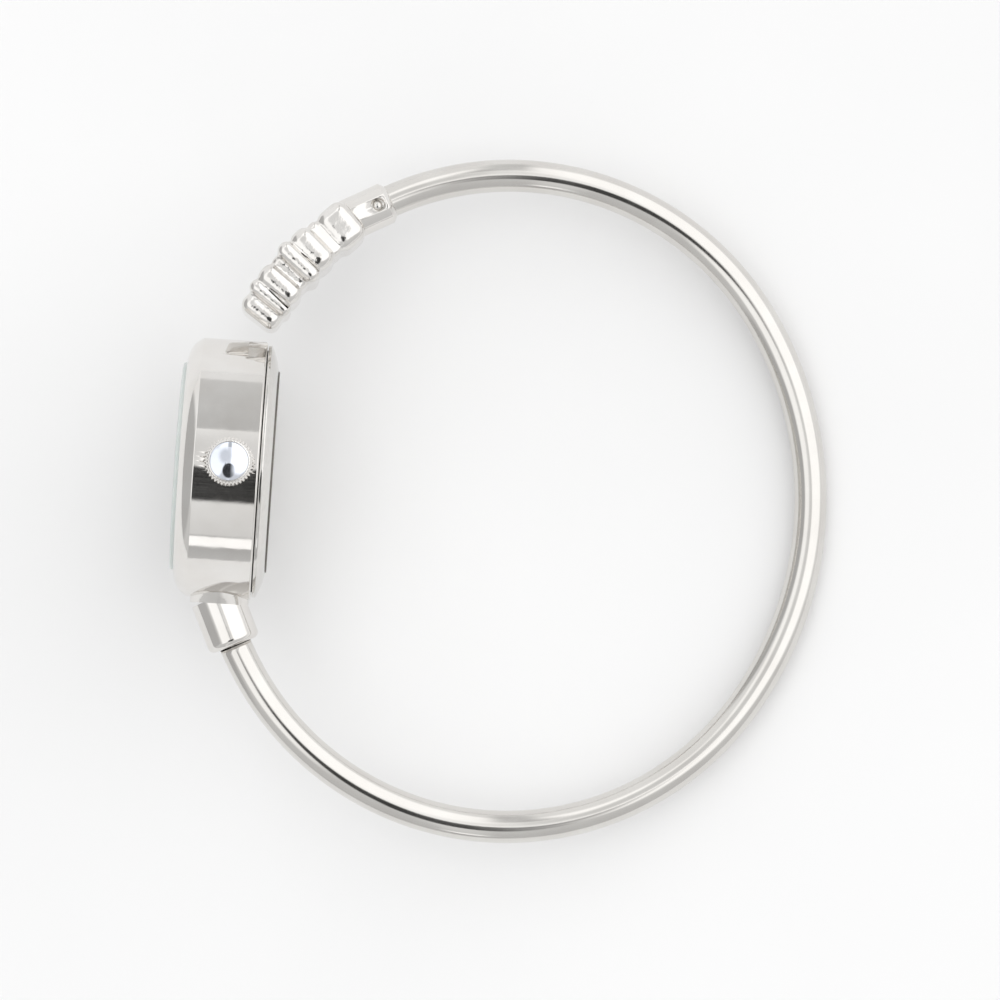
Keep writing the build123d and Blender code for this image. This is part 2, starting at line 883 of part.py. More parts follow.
# Train bridge, screwed to the plate's posts, open round battery and coil
with BuildPart() as train_bridge:
    with BuildSketch(at_level(bridge_level)):
        Circle(plate_radius)
        with Locations(battery_place):
            Circle(battery_radius + window_gap, mode=Mode.SUBTRACT)
        with Locations(Location(coil_place, coil_heading)):
            SlotOverall(
                2 * (core_half_length + ear_radius + window_gap),
                2 * (winding_radius + window_gap),
                mode=Mode.SUBTRACT,
            )
        with Locations(third_place, fifth_place, rotor_place):
            Circle(arbor_radius + running_gap, mode=Mode.SUBTRACT)
        Circle(seconds_arbor_radius + running_gap, mode=Mode.SUBTRACT)
        with Locations(*bridge_screw_places, *clamp_screw_places):
            Circle(screw_hole, mode=Mode.SUBTRACT)
    extrude(amount=bridge_thickness)
save(train_bridge, "train_bridge")


def screws(places, head_level, shank_length):
    """Slotted screws with their heads towards the back of the watch."""
    with BuildPart() as group:
        for place in places:
            extrude(round_outline(at_level(head_level), screw_head_radius, place), screw_head_height)
            extrude(
                round_outline(at_level(head_level + screw_head_height), screw_radius, place),
                shank_length,
            )
        with BuildSketch(at_level(head_level)):
            with Locations(*places):
                Rectangle(2 * screw_head_radius, screw_slot)
        extrude(amount=screw_slot, mode=Mode.SUBTRACT)
    return group


bridge_screws = screws(
    bridge_screw_places,
    bridge_level - screw_head_height,
    floor_level - bridge_level - 2 * running_gap,
)
save(bridge_screws, "bridge_screws")
clamp_screws = screws(
    clamp_screw_places,
    battery_level - clamp_thickness - screw_head_height,
    floor_level - battery_level + clamp_thickness - 2 * running_gap,
)
save(clamp_screws, "clamp_screws")
coil_screws = screws(
    ear_places,
    core_level - screw_head_height,
    floor_level - core_level - 2 * running_gap,
)
save(coil_screws, "coil_screws")

# Step motor: laminated core under the stator's ears, winding on the core
with BuildPart() as coil_core:
    with BuildSketch(at_level(core_level)):
        with Locations(Location(coil_place, coil_heading)):
            Rectangle(2 * core_half_length, core_width)
        with Locations(*ear_places):
            Circle(ear_radius)
            Circle(screw_hole, mode=Mode.SUBTRACT)
    extrude(amount=core_thickness)
save(coil_core, "coil_core")

coil_centre = at_level(core_level + core_thickness / 2).from_local_coords(coil_place)
coil_turn = radians(coil_heading)
coil_along = dial_plane.x_dir * cos(coil_turn) + dial_plane.y_dir * sin(coil_turn)
coil_plane = Plane(coil_centre, x_dir=dial_plane.z_dir, z_dir=coil_along)
with BuildPart() as coil_winding:
    with BuildSketch(coil_plane.offset(-winding_half_length)):
        Circle(winding_radius)
        Rectangle(
            core_thickness + 2 * running_gap,
            core_width + 2 * running_gap,
            mode=Mode.SUBTRACT,
        )
    extrude(amount=2 * winding_half_length)
save(coil_winding, "coil_winding")

with BuildPart() as stator:
    for place in ear_places:
        extrude(
            strap_outline(
                at_level(stator_level), (rotor_place, stator_ring_radius), (place, ear_radius)
            ),
            stator_thickness,
        )
    with BuildSketch(at_level(stator_level)):
        with Locations(rotor_place):
            Circle(stator_hole_radius)
        with Locations(*ear_places):
            Circle(screw_hole)
        with Locations(Location(coil_place, coil_heading)):
            Rectangle(
                2 * (winding_half_length + running_gap),
                2 * (winding_radius + running_gap),
            )
    extrude(amount=stator_thickness, mode=Mode.SUBTRACT)
save(stator, "stator")

# Button cell: can with the narrower negative cap towards the plate
with BuildPart() as battery:
    extrude(round_outline(at_level(battery_level), battery_radius, battery_place), battery_rim_height)
    extrude(
        round_outline(at_level(battery_level), battery_radius - battery_cap_inset, battery_place),
        battery_height,
    )
save(battery, "battery")

with BuildPart() as battery_clamp:
    for place in clamp_screw_places:
        extrude(
            strap_outline(
                at_level(battery_level - clamp_thickness),
                (battery_place, clamp_end_radius),
                (place, clamp_end_radius),
            ),
            clamp_thickness,
        )
        extrude(
            round_outline(at_level(battery_level), clamp_end_radius, place),
            bridge_level - battery_level,
        )
    for place in clamp_screw_places:
        extrude(
            round_outline(at_level(battery_level - clamp_thickness), screw_hole, place),
            bridge_level - battery_level + clamp_thickness,
            mode=Mode.SUBTRACT,
        )
save(battery_clamp, "battery_clamp")

# Circuit board on the back of the bridge, cut round the screw heads, with its chip
board_level = bridge_level - board_thickness
board_outer_radius = plate_radius - board_inset
board_inner_radius = board_outer_radius - board_width
with BuildPart() as circuit_board:
    with BuildSketch(at_level(board_level)):
        with BuildLine():
            CenterArc((0, 0), board_outer_radius, board_start, board_end - board_start)
            CenterArc((0, 0), board_inner_radius, board_start, board_end - board_start)
            Line(polar(board_inner_radius, board_start), polar(board_outer_radius, board_start))
            Line(polar(board_inner_radius, board_end), polar(board_outer_radius, board_end))
        make_face()
        with Locations(*bridge_screw_places):
            Circle(screw_head_radius + window_gap, mode=Mode.SUBTRACT)
        with Locations(third_place):
            Circle(arbor_radius + window_gap, mode=Mode.SUBTRACT)
    extrude(amount=board_thickness)
save(circuit_board, "circuit_board")

with BuildPart() as timing_chip:
    with BuildSketch(at_level(board_level - chip_height)):
        with Locations(polar((board_inner_radius + board_outer_radius) / 2, chip_bearing)):
            Rectangle(chip_size, chip_size)
    extrude(amount=chip_height)
save(timing_chip, "timing_chip")

can_plane = Plane(
    at_level(can_level).from_local_coords(can_place),
    x_dir=dial_plane.y_dir,
    z_dir=dial_plane.x_dir,
)
with BuildPart() as quartz_can:
    with BuildSketch(can_plane.offset(-can_half_length)):
        Circle(can_radius)
    extrude(amount=2 * can_half_length)
    fillet(quartz_can.edges().sort_by(Axis(can_plane.origin, can_plane.z_dir))[-1], can_radius / 3)
save(quartz_can, "quartz_can")

# Spacer ring between the movement and the case, clear of the stem
with BuildPart() as movement_spacer:
    with BuildSketch(at_level(collar_height + running_gap)):
        Circle(bore_radius - spacer_gap)
        Circle(plate_radius + spacer_gap, mode=Mode.SUBTRACT)
    extrude(amount=plate_top - collar_height - running_gap)
    with BuildSketch(stem_plane):
        Circle(pipe_bore_radius + spacer_gap)
    extrude(amount=bore_radius, mode=Mode.SUBTRACT)
save(movement_spacer, "movement_spacer")

# Crown tube, pressed into the case wall
pipe_end = case_radius + pipe_stand
with BuildPart() as case_tube:
    with BuildSketch(stem_plane.offset(bore_radius - spacer_gap / 2)):
        Circle(pipe_radius)
        Circle(pipe_bore_radius, mode=Mode.SUBTRACT)
    extrude(amount=pipe_end - bore_radius + spacer_gap / 2)
save(case_tube, "case_tube")

# Crown: knurled skirt, chamfered shoulder, and a dome set into the end
crown_start = case_radius + crown_gap
crown_end = crown_start + crown_length
crown_bore_radius = pipe_radius + ring_seal_width
crown_pitch_radius = crown_radius - tooth_tip_share * crown_module
with BuildPart() as crown:
    extrude(
        toothed_outline(
            stem_plane.offset(crown_start),
            crown_teeth,
            2 * crown_pitch_radius / crown_teeth,
            0,
        ),
        crown_length,
    )
    with BuildSketch(stem_section):
        with BuildLine():
            Polyline(
                (crown_radius - crown_shoulder, crown_end),
                (crown_radius, crown_end - crown_shoulder),
                (crown_radius + crown_shoulder, crown_end - crown_shoulder),
                (crown_radius + crown_shoulder, crown_end + overrun),
                (crown_radius - crown_shoulder, crown_end + overrun),
                (crown_radius - crown_shoulder, crown_end),
            )
        make_face()
        with BuildLine():
            Polyline(
                (crown_radius - crown_shoulder / 2, crown_start),
                (crown_radius, crown_start + crown_shoulder / 2),
                (crown_radius + crown_shoulder, crown_start + crown_shoulder / 2),
                (crown_radius + crown_shoulder, crown_start - overrun),
                (crown_radius - crown_shoulder / 2, crown_start - overrun),
                (crown_radius - crown_shoulder / 2, crown_start),
            )
        make_face()
    revolve(axis=stem_axis, mode=Mode.SUBTRACT)
    with BuildSketch(stem_plane.offset(crown_start)):
        Circle(crown_bore_radius)
    extrude(amount=pipe_end - crown_start + running_gap, mode=Mode.SUBTRACT)
    with BuildSketch(stem_plane.offset(crown_end)):
        Circle(cap_radius)
    extrude(amount=-cap_seat, mode=Mode.SUBTRACT)
    with BuildSketch(stem_plane.offset(pipe_end)):
        Circle(stem_radius)
    extrude(amount=crown_end - cap_seat - pipe_end, mode=Mode.SUBTRACT)
save(crown, "crown")

dome_radius = (cap_radius**2 + cap_height**2) / (2 * cap_height)
dome_start = degrees(asin((dome_radius - cap_height) / dome_radius))
with BuildPart() as crown_cap:
    with BuildSketch(stem_section):
        with BuildLine():
            Polyline(
                (0, crown_end + cap_height),
                (0, crown_end - cap_seat),
                (cap_radius, crown_end - cap_seat),
                (cap_radius, crown_end),
            )
            CenterArc(
                (0, crown_end + cap_height - dome_radius),
                dome_radius,
                dome_start,
                quarter_turn - dome_start,
            )
        make_face()
    revolve(axis=stem_axis)
save(crown_cap, "crown_cap")

# Ring seal in the crown's bore, round the tube
with BuildPart() as crown_gasket:
    with BuildSketch(stem_plane.offset(crown_start + ring_seal_inset)):
        Circle(crown_bore_radius - running_gap)
        Circle(pipe_radius + running_gap, mode=Mode.SUBTRACT)
    extrude(amount=ring_seal_length)
save(crown_gasket, "crown_gasket")

# Stem: pilot, square for the clutch, groove for the lever's pin, and a shank into the crown
stem_groove_half_width = lever_pin_radius + 2 * running_gap
with BuildPart() as setting_stem:
    with BuildSketch(stem_section):
        with BuildLine():
            Polyline(
                (0, stem_tip),
                (stem_pilot_radius, stem_tip),
                (stem_pilot_radius, square_end),
                (stem_radius, square_end),
                (stem_radius, stem_groove_reach - stem_groove_half_width),
                (stem_groove_radius, stem_groove_reach - stem_groove_half_width),
                (stem_groove_radius, stem_groove_reach + stem_groove_half_width),
                (stem_radius, stem_groove_reach + stem_groove_half_width),
                (stem_radius, crown_end - cap_seat),
                (0, crown_end - cap_seat),
                (0, stem_tip),
            )
        make_face()
    revolve(axis=stem_axis)
    with BuildSketch(stem_plane.offset(pilot_end)):
        Rectangle(stem_square, stem_square)
    extrude(amount=square_end - pilot_end)
save(setting_stem, "setting_stem")

with BuildPart() as clutch_wheel:
    clutch_outline_module = 2 * clutch_radius / (clutch_teeth + 2 * tooth_tip_share)
    extrude(
        toothed_outline(stem_plane.offset(clutch_start), clutch_teeth, clutch_outline_module, 0),
        clutch_length,
    )
    with BuildSketch(stem_plane.offset(clutch_groove_start)):
        Circle(clutch_radius + overrun)
        Circle(clutch_groove_radius, mode=Mode.SUBTRACT)
    extrude(amount=clutch_groove_width, mode=Mode.SUBTRACT)
    with BuildSketch(stem_plane.offset(clutch_start)):
        Rectangle(stem_square + 2 * running_gap, stem_square + 2 * running_gap)
    extrude(amount=clutch_length, mode=Mode.SUBTRACT)
save(clutch_wheel, "clutch_wheel")

# Lever: its pin stands in the stem's groove and swings with it
with BuildPart() as setting_lever:
    extrude(
        strap_outline(
            at_level(lever_level),
            (lever_place, lever_boss_radius),
            ((stem_groove_reach, 0), 2 * lever_pin_radius),
        ),
        lever_thickness,
    )
    extrude(
        round_outline(at_level(lever_level), lever_pin_radius, (stem_groove_reach, 0)),
        lever_thickness + lever_pin_height,
    )
    extrude(
        round_outline(at_level(lever_level), lever_stud_radius + running_gap, lever_place),
        lever_thickness,
        mode=Mode.SUBTRACT,
    )
save(setting_lever, "setting_lever")

# Yoke: its finger stands in the clutch's groove and pushes it inwards
with BuildPart() as yoke:
    extrude(
        strap_outline(
            at_level(yoke_level),
            (yoke_place, yoke_boss_radius),
            ((yoke_place[0], finger_root + finger_thickness), finger_thickness),
        ),
        yoke_thickness,
    )
    with BuildSketch(at_level(yoke_level)):
        with Locations((yoke_place[0], finger_tip)):
            Rectangle(finger_thickness, yoke_arm / 2, align=(Align.CENTER, Align.MIN))
    extrude(amount=yoke_thickness)
    extrude(
        round_outline(at_level(yoke_level), yoke_stud_radius + running_gap, yoke_place),
        yoke_thickness,
        mode=Mode.SUBTRACT,
    )
save(yoke, "yoke")

# Socket: saddle foot brazed to the flank, running into a barrel for the tube
socket_y = case_offset - case_radius - socket_stand
socket_bearing = hoop_bearing(socket_y)
barrel_plane = hoop_across(socket_bearing).offset(-barrel_mouth)
foot_y = case_offset - case_radius - saddle_height
foot_x = hoop_point(socket_bearing)[0] - (foot_y - socket_y) * sin(radians(-socket_bearing)) / cos(
    radians(socket_bearing)
)
flank_x = -seam_reach - flank_height / 2
mitre = 1 / cos(radians(socket_bearing))
saddle_top = case_offset - case_radius * cos(asin(saddle_half_span / case_radius)) + tube_radius
saddle_levels = (
    (saddle_top, flank_x, saddle_half_width, saddle_half_span + tube_radius / 2),
    (
        case_offset - case_radius,
        foot_x + (flank_x - foot_x) * saddle_waist_share,
        saddle_half_width + (barrel_radius * mitre - saddle_half_width) / 2,
        barrel_radius + (saddle_half_span - barrel_radius) * saddle_waist_share,
    ),
    (foot_y, foot_x, barrel_radius * mitre, barrel_radius),
)
with BuildPart() as lug_socket:
    with BuildSketch(barrel_plane):
        Circle(barrel_radius)
    extrude(amount=barrel_length + overrun)
    fillet(lug_socket.edges().sort_by(Axis(barrel_plane.origin, barrel_plane.z_dir))[0], barrel_round)
    foot_plane = Plane(
        ring_plane.from_local_coords((foot_x, foot_y, 0)),
        x_dir=ring_plane.x_dir,
        z_dir=ring_plane.y_dir,
    )
    split(bisect_by=foot_plane, keep=Keep.BOTTOM)
    for y, x, half_width, half_span in saddle_levels:
        level = Plane(
            ring_plane.from_local_coords((x, y, 0)),
            x_dir=ring_plane.x_dir,
            z_dir=ring_plane.y_dir,
        )
        with BuildSketch(level):
            Ellipse(half_width, half_span)
    loft()
    with BuildSketch(dial_plane.offset(-overrun)):
        Circle(case_radius)
    extrude(amount=flank_height + bezel_height, mode=Mode.SUBTRACT)
    with BuildSketch(barrel_plane):
        Circle(tube_radius + tube_fit)
    extrude(amount=tube_grip + tube_fit, mode=Mode.SUBTRACT)
save(lug_socket, "lug_socket")

# Terminal: bearings of its end, of its middle and of the sleeve's mouth, then its lobes
terminal_end = hoop_bearing(case_offset + case_radius + terminal_gap)
length_total = sum(lobe_length_shares)
ornament_middle = walk(terminal_end, ornament_length / 2)
sleeve_mouth = walk(terminal_end, ornament_length + sleeve_length)


def pillow(bearing, length, depth, span, round_share):
    """Block with rounded edges that stands across the hoop, turned a little to lie straighter."""
    turn = lobe_straightening_share * (bearing - ornament_middle)
    with BuildPart() as block:
        with BuildSketch(hoop_along(bearing).rotated((0, 0, turn)).offset(-span / 2)):
            Rectangle(length, depth)
        extrude(amount=span)
        fillet(block.edges(), round_share * length)
    return block.part


lobes = []
travelled = 0
for length_share, depth_share, span_share, round_share in zip(
    lobe_length_shares, lobe_depth_shares, lobe_span_shares, lobe_round_shares
):
    length = ornament_length * length_share / length_total
    middle = walk(terminal_end, travelled + length / 2)
    depth = ornament_depth * depth_share
    span = ornament_span * span_share
    lobes.append(pillow(middle, length + lobe_overlap, depth, span, round_share))
    travelled += length

mouth_plane = hoop_across(sleeve_mouth)
pin_plane = Plane(
    mouth_plane.offset(-pin_reach).origin,
    x_dir=mouth_plane.z_dir,
    z_dir=ring_plane.z_dir,
)
with BuildPart() as terminal_ornament:
    with BuildSketch(mouth_plane):
        Circle(sleeve_radius)
    extrude(amount=-sleeve_length - 2 * lobe_overlap)
    chamfer(
        terminal_ornament.edges().sort_by(Axis(mouth_plane.origin, mouth_plane.z_dir))[-1],
        sleeve_chamfer,
    )
    for lobe in lobes:
        add(lobe)
    with BuildSketch(mouth_plane):
        Circle(tube_radius + running_gap)
    extrude(amount=-sleeve_grip - tube_fit, mode=Mode.SUBTRACT)
    with BuildSketch(pin_plane.offset(-sleeve_radius - overrun)):
        Circle(pin_radius + running_gap)
    extrude(amount=2 * (sleeve_radius + overrun), mode=Mode.SUBTRACT)
save(terminal_ornament, "terminal_ornament")

with BuildPart() as cross_pin:
    with BuildSketch(pin_plane.offset(pin_sink - sleeve_radius)):
        Circle(pin_radius)
    extrude(amount=2 * (sleeve_radius - pin_sink))
save(cross_pin, "cross_pin")

# Hoop: straight into the barrel, round the four arcs, straight into the sleeve
socket_point = hoop_point(socket_bearing)
mouth_point = hoop_point(sleeve_mouth)
into_socket = (
    socket_point[0] + (tube_grip - barrel_mouth) * sin(radians(socket_bearing)),
    socket_point[1] + (tube_grip - barrel_mouth) * cos(radians(socket_bearing)),
)
into_sleeve = (
    mouth_point[0] - sleeve_grip * sin(radians(sleeve_mouth)),
    mouth_point[1] - sleeve_grip * cos(radians(sleeve_mouth)),
)
with BuildLine(ring_plane) as hoop_path:
    Line(into_socket, socket_point)
    if -socket_bearing < junction:
        CenterArc(
            (side_centre, 0), hoop_side_radius, half_turn - socket_bearing, junction + socket_bearing
        )
    end_start = max(junction, -socket_bearing)
    CenterArc(
        (0, -end_centre), hoop_end_radius, half_turn + end_start, half_turn - junction - end_start
    )
    CenterArc((-side_centre, 0), hoop_side_radius, -junction, 2 * junction)
    CenterArc((0, end_centre), hoop_end_radius, junction, half_turn - junction - sleeve_mouth)
    Line(mouth_point, into_sleeve)
with BuildPart() as bangle_tube:
    start_place = ring_plane.from_local_coords(into_socket)
    start_plane = Plane(start_place, z_dir=-hoop_onward(socket_bearing))
    with BuildSketch(start_plane):
        Circle(tube_radius)
        Circle(tube_radius - tube_wall, mode=Mode.SUBTRACT)
    sweep(path=hoop_path.wire())
    with BuildSketch(pin_plane.offset(-sleeve_radius)):
        Circle(pin_radius + running_gap)
    extrude(amount=2 * sleeve_radius, mode=Mode.SUBTRACT)
save(bangle_tube, "bangle_tube")

tube_section = pi * (tube_radius**2 - (tube_radius - tube_wall) ** 2)
print("tube volume", round(bangle_tube.part.volume, 1))
print("section times length", round(tube_section * hoop_path.wire().length, 1))
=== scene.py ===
from math import asin, atan2, cos, degrees, hypot, pi, radians, sin, sqrt

import bmesh
import bpy
from mathutils import Matrix, Vector


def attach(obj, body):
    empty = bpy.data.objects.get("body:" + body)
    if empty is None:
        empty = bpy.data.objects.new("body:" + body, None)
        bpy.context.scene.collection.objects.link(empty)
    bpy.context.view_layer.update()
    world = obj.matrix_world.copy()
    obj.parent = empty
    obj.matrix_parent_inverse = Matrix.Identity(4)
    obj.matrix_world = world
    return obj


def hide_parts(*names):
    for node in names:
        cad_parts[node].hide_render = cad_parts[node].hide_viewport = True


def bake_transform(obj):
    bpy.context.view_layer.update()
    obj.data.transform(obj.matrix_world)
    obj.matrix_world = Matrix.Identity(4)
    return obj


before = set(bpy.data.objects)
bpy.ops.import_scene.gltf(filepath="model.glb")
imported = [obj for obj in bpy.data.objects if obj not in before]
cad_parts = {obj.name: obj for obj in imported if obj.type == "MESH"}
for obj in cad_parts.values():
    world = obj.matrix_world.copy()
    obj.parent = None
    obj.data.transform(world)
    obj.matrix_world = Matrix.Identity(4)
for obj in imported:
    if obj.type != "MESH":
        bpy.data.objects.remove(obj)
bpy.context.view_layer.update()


# Studio. The watch lies on its side on a pale table, and the camera looks down along the
# middle of its hoop. A soft white surround lights it, open and darker where the camera stands.
def linear(hex_colour):
    """sRGB hex colour as the linear values that a shader takes."""
    parts = [int(hex_colour[i:i + 2], 16) / 255 for i in (1, 3, 5)]
    return [p / 12.92 if p <= 0.04045 else ((p + 0.055) / 1.055) ** 2.4 for p in parts] + [1.0]


def add_node(tree, kind, settings=None, links=None):
    """Add a node, with its settings by socket or property and its links by socket."""
    node = tree.nodes.new(kind)
    for key, value in (settings or {}).items():
        if key == "stops":
            ramp = node.color_ramp
            while len(ramp.elements) < len(value):
                ramp.elements.new(0.5)
            for element, (position, colour) in zip(ramp.elements, value):
                element.position = position
                element.color = linear(colour) if isinstance(colour, str) else (colour,) * 3 + (1.0,)
        elif isinstance(key, int) or key in node.inputs:
            node.inputs[key].default_value = value
        else:
            setattr(node, key, value)
    for key, source in (links or {}).items():
        tree.links.new(source, node.inputs[key])
    return node


def new_material(name, settings):
    """Material with a Principled shader, its node tree and its Object coordinates."""
    material = bpy.data.materials.new(name)
    material.use_nodes = True
    tree = material.node_tree
    shader = tree.nodes["Principled BSDF"]
    for key, value in settings.items():
        shader.inputs[key].default_value = value
    place = add_node(tree, "ShaderNodeTexCoord").outputs["Object"]
    return material, tree, shader, place


def per_metre(millimetres):
    """Scale of a pattern whose grain is this wide."""
    return 1000 / millimetres


def piece_from(mesh_builder, name, placing):
    """Object from a bmesh drawn in millimetres, placed in the row frame."""
    bmesh.ops.transform(mesh_builder, matrix=placing, verts=mesh_builder.verts)
    mesh = bpy.data.meshes.new(name)
    mesh_builder.to_mesh(mesh)
    mesh_builder.free()
    piece = bpy.data.objects.new(name, mesh)
    bpy.context.scene.collection.objects.link(piece)
    return piece


table_reach = 2000
table_top = bmesh.new()
bmesh.ops.create_grid(table_top, x_segments=1, y_segments=1, size=table_reach)
table = piece_from(table_top, "table_top", Matrix.Scale(0.001, 4))
# Matt paper: nearly white, with the faint clouds of its pulp, and no shine
white_paper, paper_tree, paper_shader, paper_place = new_material(
    "matt_white_paper", {"Roughness": 0.9, "Specular IOR Level": 0.2}
)
paper_mottle = add_node(
    paper_tree, "ShaderNodeTexNoise", {"Scale": per_metre(71.4), "Detail": 3.0}, {"Vector": paper_place}
)
paper_tint = add_node(
    paper_tree,
    "ShaderNodeValToRGB",
    {"stops": [(0.35, "#F4F4F4"), (0.7, "#F8F8F8")]},
    {"Fac": paper_mottle.outputs["Fac"]},
)
paper_tree.links.new(paper_tint.outputs["Color"], paper_shader.inputs["Base Color"])
table.data.materials.append(white_paper)

surround = bpy.data.worlds.new("soft_white_surround")
bpy.context.scene.world = surround
surround.use_nodes = True
sky = surround.node_tree
sky.nodes.clear()
look = add_node(sky, "ShaderNodeTexCoord").outputs["Generated"]
# The watch rests on the case's edge and on the far side of the hoop, which sets the hoop's tilt
case_radius = 12.001
tube_radius = 1.5
hoop_half_depth = 28.15
seam_inset = 4.8
seam_reach = hoop_half_depth - seam_inset
rest_reach = hoop_half_depth + seam_reach
rest_tilt = atan2(case_radius, rest_reach) - asin(tube_radius / hypot(case_radius, rest_reach))
# Directions as seen from the tilted hoop, so that bands run square to the case's flank
hoop_look = add_node(
    sky, "ShaderNodeMapping", {"vector_type": "POINT", "Rotation": (0, -rest_tilt, 0)}, {"Vector": look}
).outputs["Vector"]
parts = add_node(sky, "ShaderNodeSeparateXYZ", {}, {"Vector": hoop_look}).outputs
# Walls, dimmer towards 6 o'clock
across = add_node(sky, "ShaderNodeMapRange", {"From Min": -1.0, "From Max": 1.0}, {"Value": parts["Y"]})
walls = add_node(
    sky,
    "ShaderNodeValToRGB",
    {"stops": [(0.0, 0.62), (0.35, 0.75), (0.5, 0.9), (1.0, 1.0)]},
    {"Fac": across.outputs[0]},
)
# A large window to the right and ahead
window_direction = (0.37, 0.36, 0.856)
window_light = 1.4
window = add_node(
    sky, "ShaderNodeVectorMath", {"operation": "DOT_PRODUCT", 1: window_direction}, {0: hoop_look}
)
window_share = add_node(
    sky, "ShaderNodeMapRange", {"From Min": 0.66, "From Max": 0.8, "interpolation_type": "SMOOTHSTEP"},
    {"Value": window.outputs["Value"]},
)
# A mix of colours has its share at socket 0 and its two colours at sockets 6 and 7
room = add_node(
    sky, "ShaderNodeMix", {"data_type": "RGBA", 7: (window_light, window_light, window_light, 1)},
    {0: window_share.outputs[0], 6: walls.outputs["Color"]},
)
# Angle round the flank, from 0 at the 6 o'clock horizon to 1 at the 12 o'clock one
roll = add_node(sky, "ShaderNodeMath", {"operation": "ARCTAN2"}, {0: parts["Y"], 1: parts["Z"]})
roll_share = add_node(
    sky, "ShaderNodeMapRange", {"From Min": -pi / 2, "From Max": pi / 2}, {"Value": roll.outputs[0]}
)
# Straight over the hoop runs a narrow strip of lamps and shelves, which the flank mirrors
strip = add_node(
    sky,
    "ShaderNodeValToRGB",
    {"stops": [
        (0.0, 0.58), (0.073, 0.5), (0.078, 1.3), (0.132, 1.3), (0.136, 0.3), (0.142, 0.78), (0.34, 0.9),
        (0.668, 0.95), (0.672, 1.0), (0.68, 0.58), (0.952, 0.68), (0.96, 0.9),
    ]},
    {"Fac": roll_share.outputs[0]},
)
along = add_node(sky, "ShaderNodeMapRange", {"From Min": -1.0, "From Max": 1.0}, {"Value": parts["X"]})
strip_reach = add_node(
    sky,
    "ShaderNodeValToRGB",
    {"stops": [(0.45, 0.0), (0.475, 1.0), (0.515, 1.0), (0.535, 0.0)]},
    {"Fac": along.outputs[0]},
)
room_and_strip = add_node(
    sky,
    "ShaderNodeMix",
    {"data_type": "RGBA"},
    {0: strip_reach.outputs["Color"], 6: room.outputs[2], 7: strip.outputs["Color"]},
)


def oval_share(centre, reach, blur):
    """Share of a soft-edged oval of the surround, given by the directions' x and y."""
    offset = add_node(
        sky, "ShaderNodeVectorMath", {"operation": "SUBTRACT", 1: (*centre, 0)}, {0: hoop_look}
    )
    spread = add_node(
        sky, "ShaderNodeVectorMath", {"operation": "MULTIPLY", 1: (1 / reach[0], 1 / reach[1], 0)},
        {0: offset.outputs[0]},
    )
    length = add_node(sky, "ShaderNodeVectorMath", {"operation": "LENGTH"}, {0: spread.outputs[0]})
    return add_node(
        sky,
        "ShaderNodeMapRange",
        {"From Min": 1 + blur, "From Max": 1 - blur, "interpolation_type": "SMOOTHSTEP"},
        {"Value": length.outputs["Value"]},
    ).outputs[0]


# Far side of the room behind the dial, a second window to the left, the camera's front, and the
# ceiling beside it
surround_look = room_and_strip.outputs[2]
for centre, reach, blur, light in (
    ((-1.05, 0.0), (0.3, 1.4), 0.15, 0.52),
    ((-0.46, -0.05), (0.27, 0.5), 0.15, 1.25),
    ((-0.13, -0.1), (0.03, 0.1), 0.4, 0.4),
    ((-0.15, 0.22), (0.2, 0.26), 0.45, 0.8),
):
    surround_look = add_node(
        sky, "ShaderNodeMix", {"data_type": "RGBA", 7: (light, light, light, 1)},
        {0: oval_share(centre, reach, blur), 6: surround_look},
    ).outputs[2]
# The dark stand below the camera, which thins out to the right
stand_grain = add_node(sky, "ShaderNodeTexNoise", {"Scale": 60.0, "Detail": 3.0}, {"Vector": hoop_look})
stand_look = add_node(
    sky, "ShaderNodeValToRGB", {"stops": [(0.4, 0.01), (0.75, 0.16)]}, {"Fac": stand_grain.outputs["Fac"]}
)
stand_thinning = add_node(
    sky, "ShaderNodeMapRange", {"From Min": 0.26, "From Max": 0.04}, {"Value": parts["X"]}
)
stand_share = add_node(
    sky, "ShaderNodeMath", {"operation": "MULTIPLY"},
    {0: oval_share((0.0, -0.28), (0.22, 0.25), 0.12), 1: stand_thinning.outputs[0]},
)
surround_look = add_node(
    sky, "ShaderNodeMix", {"data_type": "RGBA"},
    {0: stand_share.outputs[0], 6: surround_look, 7: stand_look.outputs["Color"]},
).outputs[2]
ray = add_node(sky, "ShaderNodeLightPath").outputs
seen_surround = add_node(sky, "ShaderNodeBackground", {"Strength": 1.0}, {"Color": surround_look})
backdrop = add_node(sky, "ShaderNodeBackground", {"Color": linear("#F2F2F2"), "Strength": 1.0})
either = add_node(
    sky,
    "ShaderNodeMixShader",
    {},
    {0: ray["Is Camera Ray"], 1: seen_surround.outputs[0], 2: backdrop.outputs[0]},
)
add_node(sky, "ShaderNodeOutputWorld", {}, {"Surface": either.outputs[0]})

# A wide soft lamp overhead fills the table, and stays out of the mirrors
soft_lamp = bpy.data.lights.new("soft_lamp", "AREA")
soft_lamp.size = 0.8
soft_lamp.energy = 1.35
overhead = bpy.data.objects.new("overhead_lamp", soft_lamp)
overhead.location = (0.05, 0, 1.0)
overhead.visible_glossy = False
overhead.visible_camera = False
bpy.context.scene.collection.objects.link(overhead)

camera = bpy.data.objects.new("camera", bpy.data.cameras.new("camera"))
bpy.context.scene.collection.objects.link(camera)
bpy.context.scene.camera = camera
camera.data.lens = 139.8
camera.data.clip_start = 0.01
camera.location = (0.05284094, -0.01692, 0.36405116)
camera.rotation_euler = (radians(3.2307964), radians(8.1164307), radians(3.8639439))
bpy.context.scene.view_settings.view_transform = "Standard"

